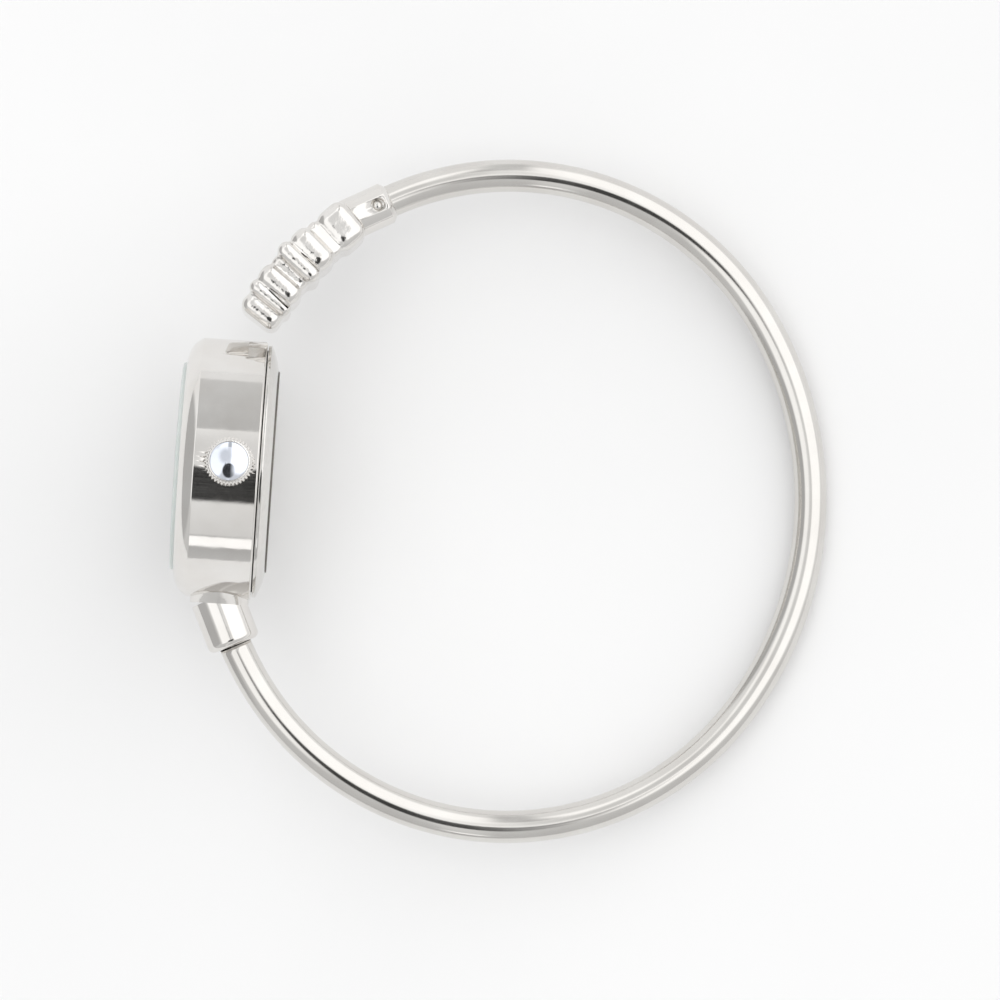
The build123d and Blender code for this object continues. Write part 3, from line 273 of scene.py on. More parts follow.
# Case middle. Turned from brass bar, polished and plated, with a domed bezel, a seat for the
# crystal, a hole for the crown's tube, and a notch in its lower edge for a case knife.
# Silver plate over polished brass: a bright, faintly warm mirror with slightly cloudy patches
polished_plate, plate_tree, plate_shader, plate_place = new_material(
    "polished_silver_plate", {"Metallic": 1.0, "Roughness": 0.05}
)
plate_clouds = add_node(
    plate_tree, "ShaderNodeTexNoise", {"Scale": per_metre(4.17), "Detail": 4.0}, {"Vector": plate_place}
)
plate_tint = add_node(
    plate_tree,
    "ShaderNodeValToRGB",
    {"stops": [(0.3, "#E2DFDB"), (0.7, "#E9E7E4")]},
    {"Fac": plate_clouds.outputs["Fac"]},
)
plate_tree.links.new(plate_tint.outputs["Color"], plate_shader.inputs["Base Color"])
plate_rubbing = add_node(
    plate_tree, "ShaderNodeTexNoise", {"Scale": per_metre(1.11), "Detail": 6.0}, {"Vector": plate_place}
)
plate_wear = add_node(
    plate_tree,
    "ShaderNodeMapRange",
    {"From Min": 0.35, "From Max": 0.75, "To Min": 0.045, "To Max": 0.11},
    {"Value": plate_rubbing.outputs["Fac"]},
)
plate_tree.links.new(plate_wear.outputs[0], plate_shader.inputs["Roughness"])
# Plating is never dead flat: swells of about 1.5 mm, and pits drawn coarser than the real ones
plate_swell = add_node(
    plate_tree, "ShaderNodeTexNoise", {"Scale": per_metre(1.54), "Detail": 2.0}, {"Vector": plate_place}
)
plate_bump = add_node(
    plate_tree,
    "ShaderNodeBump",
    {"Strength": 0.5, "Distance": 0.000012},
    {"Height": plate_swell.outputs["Fac"]},
)
plate_pits = add_node(
    plate_tree, "ShaderNodeTexNoise", {"Scale": per_metre(0.1111), "Detail": 2.0}, {"Vector": plate_place}
)
plate_fine = add_node(
    plate_tree,
    "ShaderNodeBump",
    {"Strength": 0.35, "Distance": 0.000002},
    {"Height": plate_pits.outputs["Fac"], "Normal": plate_bump.outputs["Normal"]},
)
plate_tree.links.new(plate_fine.outputs["Normal"], plate_shader.inputs["Normal"])


def turned(outline, steps=144, rounding=0.05, sharp_angle=0.3):
    """Closed piece turned about z from its outline of (radius, height), its sharp edges rounded."""
    lathe = bmesh.new()
    corners = [lathe.verts.new((radius, 0, height)) for radius, height in outline]
    sides = [lathe.edges.new(pair) for pair in zip(corners, corners[1:] + corners[:1])]
    bmesh.ops.spin(
        lathe,
        geom=corners + sides,
        cent=(0, 0, 0),
        axis=(0, 0, 1),
        angle=2 * pi,
        steps=steps,
        use_merge=True,
    )
    bmesh.ops.remove_doubles(lathe, verts=lathe.verts, dist=0.0005)
    bmesh.ops.recalc_face_normals(lathe, faces=lathe.faces)
    sharp = [e for e in lathe.edges if len(e.link_faces) == 2 and e.calc_face_angle() > sharp_angle]
    if rounding:
        bmesh.ops.bevel(
            lathe, geom=sharp, offset=rounding, offset_type="OFFSET", segments=3, profile=0.5,
            affect="EDGES", clamp_overlap=True, material=-1,
        )
    for face in lathe.faces:
        face.smooth = True
    return lathe


def bulging(start, end, rise, count=7):
    """Points of a shallow arc between two outline points, rising to the left of their chord."""
    chord = Vector(end) - Vector(start)
    side = Vector((-chord.y, chord.x)).normalized() * rise
    shares = [(step + 1) / (count + 1) for step in range(count)]
    return [tuple(Vector(start) + chord * t + side * 4 * t * (1 - t)) for t in shares]


glass_radius = 9.6
glass_top = 7.6
case_offset = 1.05
# The row frame's origin lies on the table under the middle of the watch, from crystal to hoop
front_x = -(seam_reach + glass_top) * cos(rest_tilt) - glass_radius * sin(rest_tilt)
far_x = hoop_half_depth * cos(rest_tilt) + tube_radius
hoop_middle = (-(front_x + far_x) / 2, 0, hoop_half_depth * sin(rest_tilt) + tube_radius)
hoop_frame = (
    Matrix.Scale(0.001, 4) @ Matrix.Translation(hoop_middle) @ Matrix.Rotation(rest_tilt, 4, "Y")
)
# Across the case, with z out through the dial, from the seam between case and back
dial_frame = (
    hoop_frame
    @ Matrix.Translation((-seam_reach, case_offset, 0))
    @ Matrix.Rotation(radians(-90), 4, "Y")
)
back_bore = 10.5
seat_radius = 9.85
seat_height = 6.25
ledge_radius = 9.35
ledge_height = 4.5
bezel_height = 7.25
flank_end = (case_radius, 5.85)
bezel_end = (10.05, bezel_height)
case_outline = (
    [(back_bore, 0), (11.88, 0), (case_radius, 0.12), flank_end]
    + bulging(flank_end, bezel_end, -0.34)
    + [bezel_end, (seat_radius, bezel_height), (seat_radius, seat_height)]
    + [(ledge_radius, seat_height), (ledge_radius, ledge_height), (back_bore, ledge_height)]
)
case_middle = piece_from(turned(case_outline, steps=180), "case_middle", dial_frame)
case_middle.data.materials.append(polished_plate)


def cut_by(piece, *cutters):
    """Cut pieces out of a piece and keep the result as its mesh."""
    for cutter in cutters:
        cut = piece.modifiers.new("cut", "BOOLEAN")
        cut.operation = "DIFFERENCE"
        cut.solver = "EXACT"
        cut.object = cutter
    bpy.context.view_layer.update()
    finished = bpy.data.meshes.new_from_object(piece.evaluated_get(bpy.context.evaluated_depsgraph_get()))
    piece.modifiers.clear()
    piece.data = finished
    for cutter in cutters:
        bpy.data.objects.remove(cutter)


notch_turn = 68
notch_size = (2.0, 4.4, 2.2)
notch_place = (12.5, 0, 0.6)
notch_block = bmesh.new()
bmesh.ops.create_cube(
    notch_block,
    size=1,
    matrix=Matrix.Rotation(radians(notch_turn), 4, "Z")
    @ Matrix.Translation(notch_place)
    @ Matrix.Diagonal((*notch_size, 1)),
)
stem_height = 2.65
stem_hole_radius = 0.95
stem_hole_length = 6
stem_hole = bmesh.new()
bmesh.ops.create_cone(
    stem_hole,
    cap_ends=True,
    segments=64,
    radius1=stem_hole_radius,
    radius2=stem_hole_radius,
    depth=stem_hole_length,
    matrix=Matrix.Translation((case_radius, 0, stem_height)) @ Matrix.Rotation(radians(90), 4, "Y"),
)
cut_by(
    case_middle,
    piece_from(notch_block, "notch_cutter", dial_frame),
    piece_from(stem_hole, "stem_hole_cutter", dial_frame),
)


def evenly_shaded(piece):
    """Shade wide faces flat and leave the curve to the narrow rounded edges."""
    even = piece.modifiers.new("even_shading", "WEIGHTED_NORMAL")
    even.mode = "FACE_AREA"
    even.weight = 100
    even.keep_sharp = False


evenly_shaded(case_middle)
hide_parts("mid_case")
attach(case_middle, "watch")


# Pressed-in back. Stainless steel, turned, with a bevelled rim round a raised flat middle and a
# collar that presses into the case's bore.
def grained(name, low, high, grain, smooth, rough, settings=None):
    """Material whose colour and roughness vary with a grain of this many millimetres, and its parts."""
    material, tree, shader, place = new_material(name, settings or {})
    cloud = add_node(
        tree, "ShaderNodeTexNoise", {"Scale": per_metre(grain), "Detail": 4.0}, {"Vector": place}
    )
    tint = add_node(
        tree, "ShaderNodeValToRGB", {"stops": [(0.3, low), (0.7, high)]}, {"Fac": cloud.outputs["Fac"]}
    )
    wear = add_node(
        tree,
        "ShaderNodeMapRange",
        {"From Min": 0.3, "From Max": 0.7, "To Min": smooth, "To Max": rough},
        {"Value": cloud.outputs["Fac"]},
    )
    tree.links.new(tint.outputs["Color"], shader.inputs["Base Color"])
    tree.links.new(wear.outputs[0], shader.inputs["Roughness"])
    return material, tree, shader, place, tint


metal = {"Metallic": 1.0}
# Polished stainless steel: a touch darker and softer in its shine than the plating
stainless = grained(
    "polished_stainless_steel", "#D6D4D0", "#DFDDDA", grain=0.4, smooth=0.05, rough=0.12, settings=metal
)[0]
# Painted shade: the steel in the narrow step round the raised middle is given a dark, dull grey that stands
# in for the shade in that step
step_painted_shade_steel = grained(
    "painted_shade_step_steel", "#6C6965", "#83807B", grain=0.25, smooth=0.45, rough=0.6, settings=metal
)[0]
middle_radius = 9.3
middle_height = -1.3
back_flat_end = (9.42, -1.16)
back_rim = (11.7, -0.42)
collar_radius = 10.47
back_outline = (
    [(0, middle_height), (middle_radius, middle_height), (9.34, -1.12), back_flat_end]
    + bulging(back_flat_end, back_rim, -0.1, 5)
    + [back_rim, (11.7, -0.1), (11.32, -0.1), (11.32, -0.3), (collar_radius, -0.3), (collar_radius, 0.9)]
    + [(9.77, 0.9), (9.77, -0.55), (0, -0.55)]
)
back = turned(back_outline, steps=180, rounding=0.04)
# The step round the raised middle lies between these radii and these heights; its faces carry the painted
# shade
step_radii = (9.28, 9.41)
step_heights = (-1.28, -1.08)
for face in back.faces:
    centre = face.calc_center_median()
    in_painted_shade_step = (
        step_radii[0] < centre.xy.length < step_radii[1]
        and step_heights[0] < centre.z < step_heights[1]
    )
    # Faces in the step take the second material, the dark grey painted shade
    face.material_index = int(in_painted_shade_step)
pressed_back = piece_from(back, "pressed_in_back", dial_frame)
pressed_back.data.materials.append(stainless)
pressed_back.data.materials.append(step_painted_shade_steel)
evenly_shaded(pressed_back)
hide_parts("case_back")
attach(pressed_back, "watch")

# Crystal. A flat disc of mineral glass with a narrow polished chamfer, pressed into its ring and
# a little proud of the bezel. Its ground edge looks faintly green.
# Mineral glass: clear and almost without colour
glass_ior = 1.52
mineral_glass, glass_tree, glass_shader = grained(
    "mineral_glass",
    "#F9FDFC",
    "#FCFEFD",
    grain=3.33,
    smooth=0.0,
    rough=0.004,
    settings={"IOR": glass_ior, "Transmission Weight": 1.0},
)[:3]
# Light that goes to and from the dial passes straight through the glass
glass_ray = add_node(glass_tree, "ShaderNodeLightPath").outputs
passing = add_node(
    glass_tree, "ShaderNodeMath", {"operation": "MAXIMUM"},
    {0: glass_ray["Is Shadow Ray"], 1: glass_ray["Is Diffuse Ray"]},
)
seen_share = add_node(
    glass_tree, "ShaderNodeMath", {"operation": "SUBTRACT", 0: 1.0}, {1: passing.outputs[0]}
)
glass_tree.links.new(seen_share.outputs[0], glass_shader.inputs["Alpha"])
# The ground edge is frosted, pale and green from the depth of glass behind it
ground_glass = grained(
    "ground_glass_edge",
    "#E3EBE9",
    "#EDF3F1",
    grain=1.11,
    smooth=0.35,
    rough=0.5,
    settings={"IOR": glass_ior, "Transmission Weight": 0.25},
)[0]
glass_chamfer = 0.12
glass_outline = [
    (0, seat_height),
    (glass_radius, seat_height),
    (glass_radius, glass_top - glass_chamfer),
    (glass_radius - glass_chamfer, glass_top),
    (0, glass_top),
]
glass_disc = turned(glass_outline, rounding=0.02)
for face in glass_disc.faces:
    face.material_index = int(abs(face.normal.z) < 0.9)
watch_glass = piece_from(glass_disc, "watch_glass", dial_frame)
watch_glass.data.materials.append(mineral_glass)
watch_glass.data.materials.append(ground_glass)
evenly_shaded(watch_glass)
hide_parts("crystal")
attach(watch_glass, "watch")

# Crown. Turned and knurled brass, plated, on the stem at 3 o'clock, with a low polished dome
# set into its end. It turns and pulls out to set the time.
stem_frame = (
    dial_frame
    @ Matrix.Translation((0, 0, stem_height))
    @ Matrix(((0, 0, 1, 0), (1, 0, 0, 0), (0, 1, 0, 0), (0, 0, 0, 1)))
)
knurl_count = 40
ridge_width = 0.6
crown_gap = 0.3
crown_start = case_radius + crown_gap
foot_radius = 2.03
foot_height = 0.05
knurled = bmesh.new()
bmesh.ops.create_circle(
    knurled,
    segments=knurl_count * 6,
    radius=foot_radius,
    matrix=Matrix.Translation((0, 0, crown_start + foot_height)),
)
foot_ring = knurled.edges[:]


def drawn_up(lathe, edges, height, radius, depth):
    """Extrude a ring to a height, round at a radius or knurled to a depth, and return it."""
    grown = bmesh.ops.extrude_edge_only(lathe, edges=edges)["geom"]
    for vert in [v for v in grown if isinstance(v, bmesh.types.BMVert)]:
        angle = atan2(vert.co.y, vert.co.x)
        reach = radius - depth * (0.5 + 0.5 * cos(angle * knurl_count)) ** ridge_width
        vert.co = Vector((reach * cos(angle), reach * sin(angle), height))
    return [e for e in grown if isinstance(e, bmesh.types.BMEdge)]


# Height, radius and knurl depth of each ring: first the bore for the case tube, then the outside
ring = foot_ring
for height, radius, depth in ((0.0, 1.98, 0), (0.0, 1.4, 0), (0.04, 1.33, 0), (1.42, 1.33, 0)):
    ring = drawn_up(knurled, ring, crown_start + height, radius, depth)
ring = foot_ring
for height, radius, depth in (
    (0.14, 2.12, 0), (0.26, 2.24, 0.15), (0.5, 2.25, 0.2), (1.55, 2.25, 0.2), (1.72, 2.24, 0.2),
    (1.9, 2.17, 0.18), (2.04, 2.06, 0.13), (2.13, 1.94, 0.06), (2.18, 1.84, 0), (2.2, 1.78, 0),
    (2.19, 1.74, 0), (1.95, 1.72, 0),
):
    ring = drawn_up(knurled, ring, crown_start + height, radius, depth)
bmesh.ops.holes_fill(knurled, edges=[e for e in knurled.edges if e.is_boundary])
bmesh.ops.recalc_face_normals(knurled, faces=knurled.faces)
# Every face is shaded round but the filled ends, which have many corners
for face in knurled.faces:
    face.smooth = len(face.verts) < 5
knurled_crown = piece_from(knurled, "knurled_crown", stem_frame)
knurled_crown.data.materials.append(polished_plate)
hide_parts("crown")
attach(knurled_crown, "winding_crown")

# Bright chrome: a cold bluish mirror beside the warm plating
bright_chrome = grained(
    "bright_chrome", "#DDE3EE", "#E8ECF5", grain=1.43, smooth=0.02, rough=0.05, settings=metal
)[0]
dome_radius = 1.715
dome_foot = 14.25
dome_top = 14.8
dome_rise = 0.3
dome_steps = 10
dome_sphere = (dome_radius ** 2 + dome_rise ** 2) / (2 * dome_rise)
dome_outline = [(0, dome_foot), (dome_radius, dome_foot), (dome_radius, dome_top - dome_rise)]
for step in range(dome_steps - 1, 0, -1):
    reach = dome_radius * step / dome_steps
    dome_outline.append((reach, dome_top - dome_sphere + sqrt(dome_sphere ** 2 - reach ** 2)))
crown_dome = piece_from(
    turned(dome_outline + [(0, dome_top)], steps=96, rounding=0.03), "crown_dome", stem_frame
)
crown_dome.data.materials.append(bright_chrome)
evenly_shaded(crown_dome)
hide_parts("crown_cap")
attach(crown_dome, "winding_crown")

# Hoop. Round brass tube, bent to an oval of four arcs, plated and buffed along its length; its
# ends stand in the socket and in the terminal's sleeve, and it springs open between them.
hoop_half_width = 30.3
end_radius = 27.204
end_offset = hoop_half_width - end_radius
# The side arcs run on smoothly from the end arcs, which sets their radius
side_radius = (
    (hoop_half_depth ** 2 + end_offset ** 2 - end_radius ** 2) / (2 * (hoop_half_depth - end_radius))
)
side_offset = side_radius - hoop_half_depth
# Degrees that half a side arc takes up
side_share = degrees(atan2(end_offset, side_offset))
terminal_gap = 1.9
ornament_length = 13.2
sleeve_length = 3.6
free_end = case_offset + case_radius + terminal_gap
terminal_bearing = degrees(asin(free_end / side_radius))
side_run = radians(side_share - terminal_bearing) * side_radius


def hoop_bearing(distance):
    """Bearing of the place on the hoop this far past the terminal's free end."""
    if distance < side_run:
        return terminal_bearing + degrees(distance / side_radius)
    return side_share + degrees((distance - side_run) / end_radius)


# Bearings in degrees of the tube's start in the socket and of the sleeve's mouth, and how much
# further the tube runs on inside the sleeve
socket_turn = 207.5
mouth_bearing = hoop_bearing(ornament_length + sleeve_length)
hidden_turn = 8
hoop_tube = bmesh.new()
bmesh.ops.create_circle(
    hoop_tube,
    segments=48,
    radius=tube_radius,
    matrix=Matrix.Translation((side_offset, 0, 0))
    @ Matrix.Rotation(radians(socket_turn), 4, "Z")
    @ Matrix.Translation((side_radius, 0, 0))
    @ Matrix.Rotation(radians(90), 4, "X"),
)
last_ring = hoop_tube.edges[:]
arcs = (
    ((side_offset, 0, 0), 180 + side_share - socket_turn),
    ((0, -end_offset, 0), 180 - 2 * side_share),
    ((-side_offset, 0, 0), 2 * side_share),
    ((0, end_offset, 0), 180 - side_share - mouth_bearing + hidden_turn),
)
for centre, sweep in arcs:
    swept = bmesh.ops.spin(
        hoop_tube, geom=last_ring, cent=centre, axis=(0, 0, 1), angle=radians(sweep), steps=int(sweep)
    )
    last_ring = [e for e in swept["geom_last"] if isinstance(e, bmesh.types.BMEdge)]
bmesh.ops.holes_fill(hoop_tube, edges=[e for e in hoop_tube.edges if e.is_boundary])
bmesh.ops.recalc_face_normals(hoop_tube, faces=hoop_tube.faces)
for face in hoop_tube.faces:
    face.smooth = len(face.verts) < 5
hoop = piece_from(hoop_tube, "hoop_tube", hoop_frame)


def set_square(tree, place, placing):
    """Object coordinates as seen from a turned piece, in its own millimetres, and their parts."""
    seen = add_node(
        tree,
        "ShaderNodeMapping",
        {
            "vector_type": "TEXTURE",
            "Location": placing.to_translation(),
            "Rotation": placing.to_euler(),
            "Scale": placing.to_scale(),
        },
        {"Vector": place},
    )
    xyz = add_node(tree, "ShaderNodeSeparateXYZ", {}, {"Vector": seen.outputs["Vector"]}).outputs
    flat = add_node(tree, "ShaderNodeCombineXYZ", {}, {0: xyz["X"], 1: xyz["Y"]})
    reach = add_node(tree, "ShaderNodeVectorMath", {"operation": "LENGTH"}, {0: flat.outputs[0]})
    return xyz, reach.outputs["Value"]


# Buffed plate: the same silver with a softer shine, drawn out by fine lines round the hoop
buffed_plate, buffed_tree, buffed_shader, buffed_place = grained(
    "buffed_silver_plate", "#D8D5D1", "#DFDDD9", grain=4.17, smooth=0.09, rough=0.15, settings=metal
)[:4]
hoop_parts, hoop_reach = set_square(buffed_tree, buffed_place, hoop_frame)
across_tube = add_node(buffed_tree, "ShaderNodeCombineXYZ", {}, {0: hoop_reach, 1: hoop_parts["Z"]})
# Millimetres between the lines, coarser than real buffing, which is too fine to see
buff_spacing = 0.2857
buff_lines = add_node(
    buffed_tree,
    "ShaderNodeTexNoise",
    {"Scale": 1 / buff_spacing, "Detail": 3.0},
    {"Vector": across_tube.outputs[0]},
)
buff_bump = add_node(
    buffed_tree,
    "ShaderNodeBump",
    {"Strength": 0.4, "Distance": 0.000008},
    {"Height": buff_lines.outputs["Fac"]},
)
buffed_tree.links.new(buff_bump.outputs["Normal"], buffed_shader.inputs["Normal"])
hoop.data.materials.append(buffed_plate)
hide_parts("bangle_tube")
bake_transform(hoop)

# Terminal. A ribbed casting, tumbled and plated, whose sleeve takes the end of the hoop and is
# fixed to it by a cross pin.
# Plated casting: the plating's mirror, unsettled by the soft dents of about 0.7 mm of cast skin
cast_plate, cast_tree, cast_shader, cast_place = grained(
    "plated_casting", "#DEDBD7", "#EAE8E5", grain=2.0, smooth=0.04, rough=0.12, settings=metal
)[:4]
cast_dents = add_node(
    cast_tree, "ShaderNodeTexNoise", {"Scale": per_metre(0.714), "Detail": 3.0}, {"Vector": cast_place}
)
cast_bump = add_node(
    cast_tree,
    "ShaderNodeBump",
    {"Strength": 0.6, "Distance": 0.00004},
    {"Height": cast_dents.outputs["Fac"]},
)
cast_tree.links.new(cast_bump.outputs["Normal"], cast_shader.inputs["Normal"])


def along_hoop(distance):
    """Place on the hoop this far past the terminal's free end: x outwards, y back to the end."""
    centre, radius = ((side_offset, 0, 0), side_radius)
    if distance > side_run:
        centre, radius = ((0, end_offset, 0), end_radius)
    return (
        Matrix.Translation(centre)
        @ Matrix.Rotation(radians(180 - hoop_bearing(distance)), 4, "Z")
        @ Matrix.Translation((radius, 0, 0))
    )


# Share of the length, depth, span and rounding of each rib, from the gap to the sleeve
ribs = (
    (0.13, 4.04, 6.34, 0.85),
    (0.08, 4.51, 8.06, 0.6),
    (0.145, 4.37, 8.64, 0.9),
    (0.08, 3.95, 7.68, 0.6),
    (0.1, 4.7, 9.6, 0.7),
    (0.165, 4.42, 8.83, 1.0),
    (0.065, 3.9, 7.3, 0.5),
    (0.235, 4.32, 7.49, 1.1),
)
straightening = 0.5
rib_overlap = 0.3


def rib_place(distance):
    """Place of a rib, turned back half way to the ornament's middle, so that the row lies straighter."""
    turn = straightening * (hoop_bearing(distance) - hoop_bearing(ornament_length / 2))
    return along_hoop(distance) @ Matrix.Rotation(radians(turn), 4, "Z")


casting = bmesh.new()
travelled = 0.0
for share, depth, span, rounding in ribs:
    length = ornament_length * share
    block = bmesh.ops.create_cube(
        casting,
        size=1,
        matrix=rib_place(travelled + length / 2) @ Matrix.Diagonal((depth, length + rib_overlap, span, 1)),
    )
    bmesh.ops.bevel(
        casting,
        geom=[e for e in casting.edges if e.verts[0] in block["verts"]],
        offset=rounding,
        offset_type="OFFSET",
        segments=5,
        profile=0.5,
        affect="EDGES",
        clamp_overlap=True,
        material=-1,
    )
    travelled += length
ornament = piece_from(casting, "ribbed_casting", hoop_frame)
ornament.data.materials.append(cast_plate)
# One skin over all ribs, softened as a tumbled casting is
skin = ornament.modifiers.new("skin", "REMESH")
skin.mode = "VOXEL"
skin.voxel_size = 0.0001
soften = ornament.modifiers.new("soften", "SMOOTH")
soften.factor = 0.5
soften.iterations = 30
# Distance along the ornament and height of the slots at the feet of two ribs
slot_places = ((7.06, 4.25), (2.77, 3.95))
slot_offset = -0.75
slot_length = 2.4
slot_tip_radius = 0.16
slot_mouth_radius = 0.34


def slot_cutter(distance, height):
    """Slim tapered cutter for a slot that runs from the ornament's middle to the wrist side."""
    slot = bmesh.new()
    bmesh.ops.create_cone(
        slot,
        cap_ends=True,
        segments=24,
        radius1=slot_tip_radius,
        radius2=slot_mouth_radius,
        depth=slot_length,
        matrix=rib_place(distance)
        @ Matrix.Translation((slot_offset, 0, height))
        @ Matrix.Rotation(radians(-90), 4, "Y"),
    )
    return piece_from(slot, "slot_cutter", hoop_frame)


cut_by(ornament, *(slot_cutter(distance, height) for distance, height in slot_places))
for face in ornament.data.polygons:
    face.use_smooth = True
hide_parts("terminal_ornament")
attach(ornament, "terminal")

mouth_frame = (
    hoop_frame
    @ along_hoop(ornament_length + sleeve_length)
    @ Matrix.Rotation(radians(-90), 4, "X")
)
sleeve_bore = 1.53
sleeve_radius = 1.98
sleeve_outline = [
    (sleeve_bore, -0.2), (1.73, 0), (sleeve_radius, 0.25), (sleeve_radius, 4.2), (sleeve_bore, 4.2),
]
sleeve = piece_from(turned(sleeve_outline, steps=96, rounding=0.04), "terminal_sleeve", mouth_frame)
sleeve.data.materials.append(polished_plate)
pin_distance = 1.15
pin_hole_radius = 0.65
pin_hole_length = 6
pin_hole = bmesh.new()
bmesh.ops.create_cone(
    pin_hole,
    cap_ends=True,
    segments=48,
    radius1=pin_hole_radius,
    radius2=pin_hole_radius,
    depth=pin_hole_length,
    matrix=Matrix.Translation((0, 0, pin_distance)) @ Matrix.Rotation(radians(90), 4, "X"),
)
cut_by(sleeve, piece_from(pin_hole, "pin_hole_cutter", mouth_frame))
evenly_shaded(sleeve)
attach(sleeve, "terminal")

# Cross pin. Hard-drawn stainless steel with domed ends, driven through sleeve and hoop to just
# below the sleeve's surface.
domed_end = [(0, 1.66), (0.22, 1.64), (0.42, 1.54), (0.58, 1.3)]
pin_outline = [(radius, -height) for radius, height in domed_end] + domed_end[::-1]
pin = piece_from(
    turned(pin_outline, steps=48, rounding=0),
    "cross_pin_domed",
    mouth_frame @ Matrix.Translation((0, 0, pin_distance)) @ Matrix.Rotation(radians(90), 4, "X"),
)
pin.data.materials.append(stainless)
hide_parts("cross_pin")
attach(pin, "terminal")


# Socket and crown tube. The socket is brazed to the flank at 6 o'clock and plated with the case.
# The crown's tube is turned from stainless steel and pressed into its hole.
def dress(material, *nodes):
    """Give CAD nodes their finish."""
    for node in nodes:
        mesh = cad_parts[node].data
        mesh.materials.clear()
        mesh.materials.append(material)


dress(polished_plate, "lug_socket")
dress(stainless, "case_tube")

# Seals. Moulded black rubber under the back and on the crown's tube, and a clear nylon ring
# that holds the crystal.
# Rubber: near black and dull, with a faint bloom
black_rubber = grained("black_rubber", "#141414", "#1E1D1C", grain=0.56, smooth=0.55, rough=0.75)[0]
dress(black_rubber, "case_back_gasket", "crown_gasket")
# Nylon: milky, with some light inside it
nylon_depth = {"Subsurface Weight": 0.2, "Subsurface Scale": 0.0005}
clear_nylon = grained(
    "clear_nylon", "#E6E6DE", "#F0F0EA", grain=1.1, smooth=0.2, rough=0.35, settings=nylon_depth
)[0]
dress(clear_nylon, "crystal_gasket")

# Dial. A brass blank under satin white lacquer, with a minute track printed in black. Its feet
# stand in the main plate.
# Lacquer: soft white with a thin clear coat over it
white_lacquer, lacquer_tree, lacquer_shader, lacquer_place, lacquer_tint = grained(
    "white_lacquer", "#ECECE8", "#F3F3F0", grain=0.667, smooth=0.25, rough=0.4, settings={"Coat Weight": 0.3}
)
dial_parts, track_reach = set_square(lacquer_tree, lacquer_place, dial_frame)
# Strokes at the minutes, each this share of a minute to either side, round a track this wide
stroke_share = 0.07
track_radius = 8.85
track_half_width = 0.22
minutes_in_radian = 30 / pi
dial_angle = add_node(
    lacquer_tree, "ShaderNodeMath", {"operation": "ARCTAN2"}, {0: dial_parts["Y"], 1: dial_parts["X"]}
)
minute = add_node(
    lacquer_tree,
    "ShaderNodeMath",
    {"operation": "MULTIPLY", 1: minutes_in_radian},
    {0: dial_angle.outputs[0]},
)
minute_offset = add_node(
    lacquer_tree, "ShaderNodeMath", {"operation": "PINGPONG", 1: 0.5}, {0: minute.outputs[0]}
)
in_stroke = add_node(
    lacquer_tree,
    "ShaderNodeMath",
    {"operation": "LESS_THAN", 1: stroke_share},
    {0: minute_offset.outputs[0]},
)
in_track = add_node(
    lacquer_tree,
    "ShaderNodeMath",
    {"operation": "COMPARE", 1: track_radius, 2: track_half_width},
    {0: track_reach},
)
printed = add_node(
    lacquer_tree,
    "ShaderNodeMath",
    {"operation": "MULTIPLY"},
    {0: in_stroke.outputs[0], 1: in_track.outputs[0]},
)
lacquer_and_print = add_node(
    lacquer_tree,
    "ShaderNodeMix",
    {"data_type": "RGBA", 7: linear("#1A1A1A")},
    {0: printed.outputs[0], 6: lacquer_tint.outputs["Color"]},
)
lacquer_tree.links.new(lacquer_and_print.outputs[2], lacquer_shader.inputs["Base Color"])
dress(white_lacquer, "dial")

# Markers and hands. Stamped and polished steel; the markers are fixed on the dial, and the hands
# are pressed on to their arbors.
# Polished steel: a darker, bluer shine that stands out from the white dial
polished_steel = grained(
    "polished_steel", "#BDBDC2", "#CBCBD0", grain=0.333, smooth=0.08, rough=0.2, settings=metal
)[0]
dress(polished_steel, "hour_markers", "hour_hand", "minute_hand", "second_hand")

# Movement holder. A moulded plastic ring that fills the space between movement and case.
# Acetal: plain white, with a low even sheen
white_plastic = grained("white_acetal", "#E4E3DE", "#EEEDE9", grain=1.43, smooth=0.4, rough=0.55)[0]
dress(white_plastic, "movement_spacer")

# Movement plates. Blanked and milled brass, nickel-plated, held together by the bridge's screws.
# Nickel plate: a yellowish grey metal with the fine lines of a straight grain, 0.4 mm apart
nickel_plate, nickel_tree, nickel_shader, nickel_place = grained(
    "nickel_plated_brass", "#BDBAB2", "#CECBC4", grain=0.5, smooth=0.2, rough=0.35, settings=metal
)[:4]
nickel_lines = add_node(
    nickel_tree,
    "ShaderNodeTexWave",
    {"Scale": per_metre(0.4), "Distortion": 3.0, "bands_direction": "Y"},
    {"Vector": nickel_place},
)
nickel_bump = add_node(
    nickel_tree,
    "ShaderNodeBump",
    {"Strength": 0.3, "Distance": 0.000004},
    {"Height": nickel_lines.outputs["Fac"]},
)
nickel_tree.links.new(nickel_bump.outputs["Normal"], nickel_shader.inputs["Normal"])
dress(nickel_plate, "main_plate", "train_bridge")

# Wheels. Stamped and cut from sheet brass, each pressed on to its arbor.
# Machined brass: warm yellow, brushed by the cutter
machined_brass = grained(
    "machined_brass", "#C9A560", "#D9B873", grain=0.38, smooth=0.18, rough=0.35, settings=metal
)[0]
dress(
    machined_brass,
    "fifth_wheel", "fourth_wheel", "third_wheel", "centre_wheel",
    "minute_wheel", "hour_wheel", "setting_wheel",
)

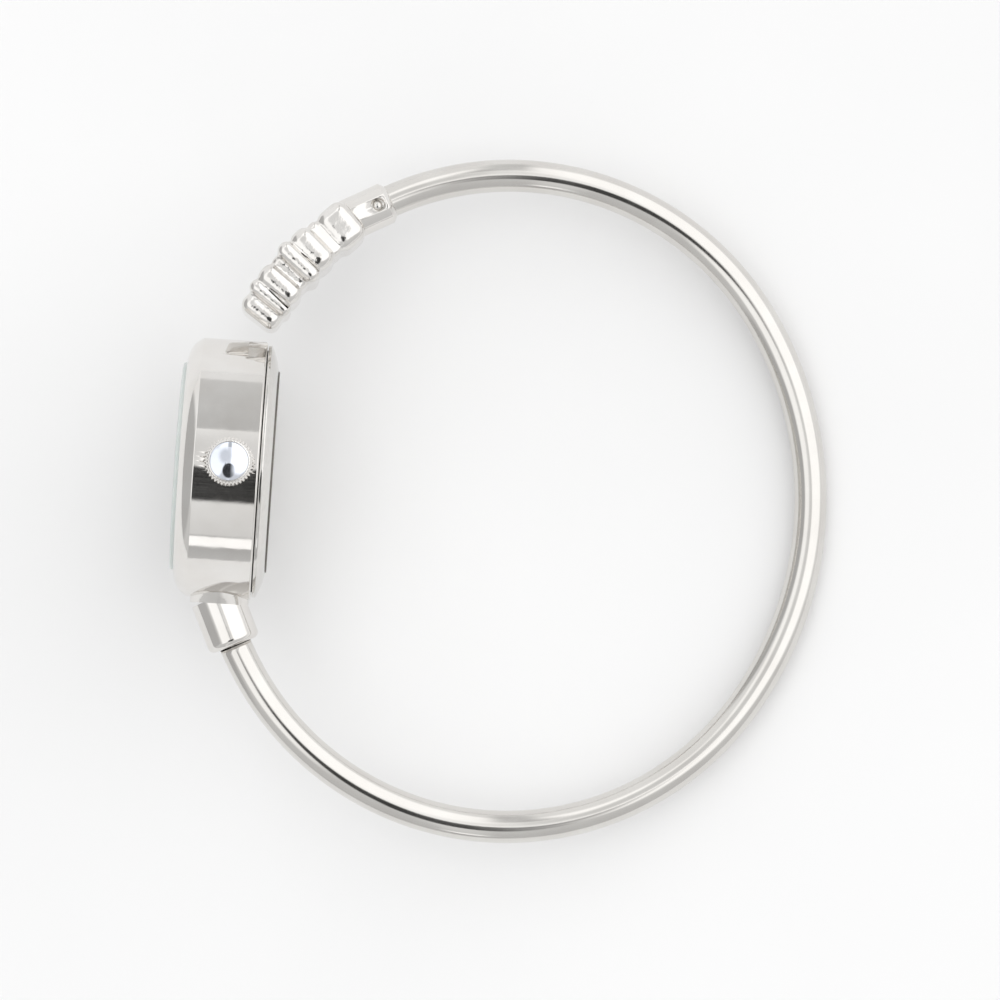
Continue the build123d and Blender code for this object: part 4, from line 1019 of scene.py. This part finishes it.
# Screws, stem, clutch and setting levers. Hardened steel, turned or stamped, and polished where
# it slides.
# Hardened steel: a cool mid grey with a broken shine
screw_steel = grained(
    "screw_steel", "#A9A9AE", "#BEBEC3", grain=0.31, smooth=0.15, rough=0.32, settings=metal
)[0]
dress(
    screw_steel,
    "setting_stem", "clutch_wheel", "setting_lever", "yoke",
    "bridge_screws", "clamp_screws", "coil_screws",
)

# Motor. Stamped soft iron core, stator and rotor, and a winding of enamelled copper wire round
# the core.
# Soft iron: dull grey, straight from annealing
soft_iron = grained(
    "soft_magnetic_iron", "#8E8D8B", "#A3A19E", grain=0.45, smooth=0.3, rough=0.5, settings=metal
)[0]
dress(soft_iron, "coil_core", "stator", "rotor")
# Enamelled wire: dark copper under a glossy skin, its layers drawn coarser than the 0.02 mm wire
copper_wire, copper_tree, copper_shader, copper_place = grained(
    "enamelled_copper_wire",
    "#96441C",
    "#B85C2A",
    grain=0.83,
    smooth=0.25,
    rough=0.4,
    settings={"Metallic": 0.6, "Coat Weight": 0.5},
)[:4]
copper_turns = add_node(
    copper_tree,
    "ShaderNodeTexWave",
    {"Scale": per_metre(0.167), "bands_direction": "DIAGONAL"},
    {"Vector": copper_place},
)
copper_bump = add_node(
    copper_tree,
    "ShaderNodeBump",
    {"Strength": 0.5, "Distance": 0.00002},
    {"Height": copper_turns.outputs["Fac"]},
)
copper_tree.links.new(copper_bump.outputs["Normal"], copper_shader.inputs["Normal"])
dress(copper_wire, "coil_winding")

# Electronics. A printed board with its chip and quartz, and a button cell under a sprung clamp,
# all screwed or soldered to the movement.
# Solder mask: deep green and slightly glossy
green_board = grained("green_solder_mask", "#124428", "#1C5A36", grain=0.63, smooth=0.3, rough=0.45)[0]
dress(green_board, "circuit_board")
# Epoxy resin: a black drop with an uneven sheen
black_resin = grained("black_epoxy_resin", "#0C0C0D", "#161617", grain=0.42, smooth=0.35, rough=0.6)[0]
dress(black_resin, "timing_chip")
# Nickel-plated steel: a plain silvery grey, drawn and wiped
cell_steel = grained(
    "nickel_plated_steel", "#B4B3B0", "#C6C5C2", grain=0.36, smooth=0.15, rough=0.3, settings=metal
)[0]
dress(cell_steel, "battery", "battery_clamp", "quartz_can")
